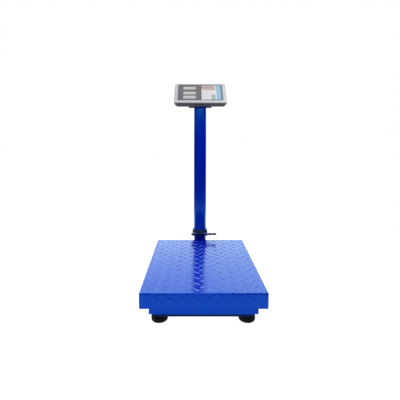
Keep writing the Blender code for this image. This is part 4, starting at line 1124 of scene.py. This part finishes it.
# Displays: reflective liquid-crystal windows, pale grey, each with a row of unlit seven-bar figures
# that only just show in the glass.
crystal = finish_of(
    "pale_liquid_crystal", light=(0.42, 0.42, 0.425), dark=(0.37, 0.37, 0.37), rough=0.22, grain=0.0004,
    grain_depth=0.000002, patch=0.02, coat=0.5, coat_rough=0.05,
)
ghost = finish_of(
    "unlit_bars", light=(0.34, 0.345, 0.345), dark=(0.32, 0.325, 0.32), rough=0.25, grain=0.0004,
    grain_depth=0.000001, patch=0.02, coat=0.5, coat_rough=0.05,
)


def bar(center, length, width, upright, height):
    """One bar of a seven-bar figure: a thin hexagon."""
    half, side = length / 2, width / 2
    outline = [(half, 0), (half - side, side), (-half + side, side), (-half, 0), (-half + side, -side),
               (half - side, -side)]
    loops = []
    for z in (height, height + 0.00006):
        loops.append([Vector((center[0] + (-q if upright else p), center[1] + (p if upright else q), z))
                      for p, q in outline])
    return stacked(loops)


window_rows = (0.0898, 0.0538, 0.0245)
window_x = -0.0495
figure_w, figure_h, figure_pitch, bar_width, bar_level = 0.0052, 0.0112, 0.0084, 0.00095, -0.00038
for node, row_y in zip(("display_weight", "display_price", "display_total"), window_rows):
    eased(node, 0.0002, material=crystal, body="indicator", slot="display_glass")
    bars = []
    for figure in range(6):
        x = window_x + (figure - 2.5) * figure_pitch
        for level in (-1, 0, 1):
            bars.append(bar((x, row_y + level * figure_h / 2), figure_w * 0.86, bar_width, False, bar_level))
        for level in (-0.5, 0.5):
            for side in (-0.5, 0.5):
                center = (x + side * figure_w, row_y + level * figure_h / 2)
                bars.append(bar(center, figure_h * 0.43, bar_width, True, bar_level))
    figures = placed(joined(*bars), head_place)
    fit_piece(node.replace("_", "-") + "-figures", figures, ghost, "indicator", "display_glass")


# Keypad: one embossed polyester film stuck on the panel, printed in zones: two rows of pink keys on
# rust, white figure keys with a pale green foot to their third column, and a pale blue column.
keypad_x, keypad_y = 0.050, window_height / 2
keypad_w, keypad_h = 0.090, 0.1055
film_face, figure_size, arch_radius, arch_pen = 0.0009, 0.0085, 0.0075, 0.0005
backing = finish_of(
    "slate_keypad_film", light=(0.115, 0.108, 0.118), dark=(0.095, 0.090, 0.100), rough=0.42, grain=0.0003,
    grain_depth=0.000006, patch=0.02,
)
plate = stacked([
    rounded_loop(keypad_x - keypad_w / 2 + inset, keypad_x + keypad_w / 2 - inset,
                 keypad_y - keypad_h / 2 + inset, keypad_y + keypad_h / 2 - inset, 0.002, height, 6)
    for inset, height in ((0, 0.0003), (0, film_face - 0.0001), (0.0001, film_face))
])
fit_piece("keypad-film", placed(plate, head_place), backing, "indicator", "keypad_film", "keypad")
key_prints = {
    name: finish_of(name + "_keypad_print", light=light, dark=tuple(0.86 * c for c in light), rough=0.42,
                    grain=0.0003, grain_depth=0.000005, patch=0.012)
    for name, light in (
        ("rust", (0.26, 0.145, 0.130)), ("pink", (0.49, 0.345, 0.320)), ("grey", (0.44, 0.41, 0.425)),
        ("white", (0.66, 0.625, 0.640)), ("green", (0.27, 0.36, 0.36)), ("aqua", (0.52, 0.66, 0.74)),
        ("slate", (0.16, 0.29, 0.41)), ("blue", (0.23, 0.40, 0.56)), ("teal", (0.105, 0.150, 0.180)),
    )
}
ink = finish_of("dark_ink", light=(0.10, 0.09, 0.10), dark=(0.08, 0.07, 0.08), rough=0.5, grain=0.0003,
                grain_depth=0.000002, patch=0.01)
printed = {name: [] for name in key_prints}


def key_dome(x0, x1, y0, y1):
    """One embossed key."""
    levels = ((0, film_face), (0.0002, film_face + 0.0003), (0.0010, film_face + 0.00055),
              (0.0030, film_face + 0.00062))
    return stacked([
        rounded_loop(x0 + inset, x1 - inset, y0 + inset, y1 - inset, max(0.0006, 0.0016 - inset * 0.4), z, 5)
        for inset, z in levels
    ])


column_edges = (0.0054, 0.0276, 0.0504, 0.0706, 0.0746, 0.0946)
row_edges = [keypad_y + keypad_h / 2 - 0.0005 - (keypad_h - 0.001) * i / 6 for i in range(7)]
for name, left, right, top, bottom in (
    ("rust", 0, 3, 0, 2), ("grey", 0, 3, 2, 6), ("aqua", 3, 4, 0, 6), ("slate", 4, 5, 0, 6),
):
    printed[name].append(block_between((column_edges[left], row_edges[bottom], film_face - 0.0001),
                                       (column_edges[right], row_edges[top], film_face + 0.00008)))
key_rows = ("pink pink pink blue", "pink pink pink blue", "white white white blue", "white white white blue",
            "white white green blue", "white white green blue")
figures = ("", "", "789", "456", "123", "0.")
marks = []
for row, names in enumerate(key_rows):
    for column, name in enumerate(names.split()):
        left, right = (4, 5) if column == 3 else (column, column + 1)
        side_gap, row_gap = (0.0007, 0.0003) if row > 1 else (0.0008, 0.0009)
        x0, x1 = column_edges[left] + side_gap, column_edges[right] - side_gap
        y0, y1 = row_edges[row + 1] + row_gap, row_edges[row] - row_gap
        printed[name].append(key_dome(x0, x1, y0, y1))
        if column < len(figures[row]):
            text = bpy.data.curves.new("figure", "FONT")
            text.body = figures[row][column]
            text.size = figure_size
            text.align_x = "CENTER"
            text.align_y = "CENTER"
            text.extrude = 0.00004
            text.resolution_u = 3
            letter = set_down("figure", text)
            letter = letter.evaluated_get(bpy.context.evaluated_depsgraph_get())
            mesh = bpy.data.meshes.new_from_object(letter)
            bpy.data.objects.remove(letter.original)
            on_key = Matrix.Translation(((x0 + x1) / 2, (y0 + y1) / 2, film_face + 0.00062))
            marks.append(placed(mesh, on_key))
        elif name == "pink":
            foot = Vector(((x0 + x1) / 2, y0 + 0.003, 0))
            arch = [foot + arch_radius * Vector((math.cos(turn), math.sin(turn), 0))
                    for turn in (math.radians(15 * step) for step in range(13))]
            for start, end in zip(arch, arch[1:]):
                along = (end - start).normalized() * 0.0002
                across = Vector((-along.y, along.x, 0)).normalized() * arch_pen
                outline = [start - along - across, end + along - across, end + along + across,
                           start - along + across]
                printed["rust"].append(stacked([
                    [point + Vector((0, 0, height)) for point in outline]
                    for height in (film_face + 0.0005, film_face + 0.00066)
                ]))
printed["teal"].append(block_between((0.0955, 0.0012, 0.0001), (0.1018, 0.1113, 0.00025)))
for name, meshes in printed.items():
    keys_mesh = placed(joined(*meshes), head_place)
    fit_piece("keys-" + name, keys_mesh, key_prints[name], "indicator", "keypad_film")
fit_piece("key-figures", placed(joined(*marks), head_place), ink, "indicator", "keypad_film")


# Circuit board and battery: a green board behind the panel and a sealed battery in shrink wrap in the
# hump. Both sit inside the housing and are seen only when it is opened.
board = finish_of("green_solder_mask", light=(0.02, 0.16, 0.06), dark=(0.012, 0.11, 0.04), rough=0.4,
                  grain=0.0006, grain_depth=0.00001, patch=0.01, coat=0.3)
wrap = finish_of("battery_shrink_wrap", light=(0.06, 0.07, 0.09), dark=(0.04, 0.045, 0.06), rough=0.42,
                 grain=0.0006, grain_depth=0.00001, patch=0.01)
eased("circuit_board", 0.0002, material=board, body="indicator", slot="board_green")
eased("battery", 0.0004, material=wrap, body="indicator", slot="battery_wrap")


# Tilt knobs: six-lobed black nylon with a moulded-in zinc stud, one through each ear of the bracket
# into the hump. Tightened, they hold the head at its angle.
inner, lobes = 0.0538, 6
for side, node in ((-1, "tilt_knob_left"), (1, "tilt_knob_right")):
    low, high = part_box(node)
    outer = abs(high.x if side > 0 else low.x)
    reach = (high.y - low.y) / 2
    levels = (
        (0.0070, inner, 0), (0.0088, inner + 0.0005, 0), (0.0090, inner + 0.0024, 0),
        (reach * 0.85, inner + 0.0032, 0.0006), (reach - 0.0014, inner + 0.0042, 0.0012),
        (reach - 0.0010, inner + 0.0100, 0.0012), (reach - 0.0018, inner + 0.0118, 0.0010),
        (reach * 0.72, outer - 0.0002, 0.0004), (reach * 0.66, outer, 0.0), (reach * 0.5, outer, 0.0),
        (reach * 0.46, outer - 0.0005, 0.0),
    )
    grip = stacked([circle_loop(r, z, 96, wave, lobes) for r, z, wave in levels])
    stud = threaded_rod(0.0030, 0.0440, inner + 0.001, 0.0007, 20)
    turn = Matrix.Translation((0, tilt[1], tilt[2])) @ Matrix.Rotation(side * math.pi / 2, 4, "Y")
    fit_piece(node.replace("_", "-"), placed(grip, turn), nylon, node, "black_plastic", node)
    fit_piece(node.replace("_", "-") + "-stud", placed(stud, turn), plated, node, "zinc")
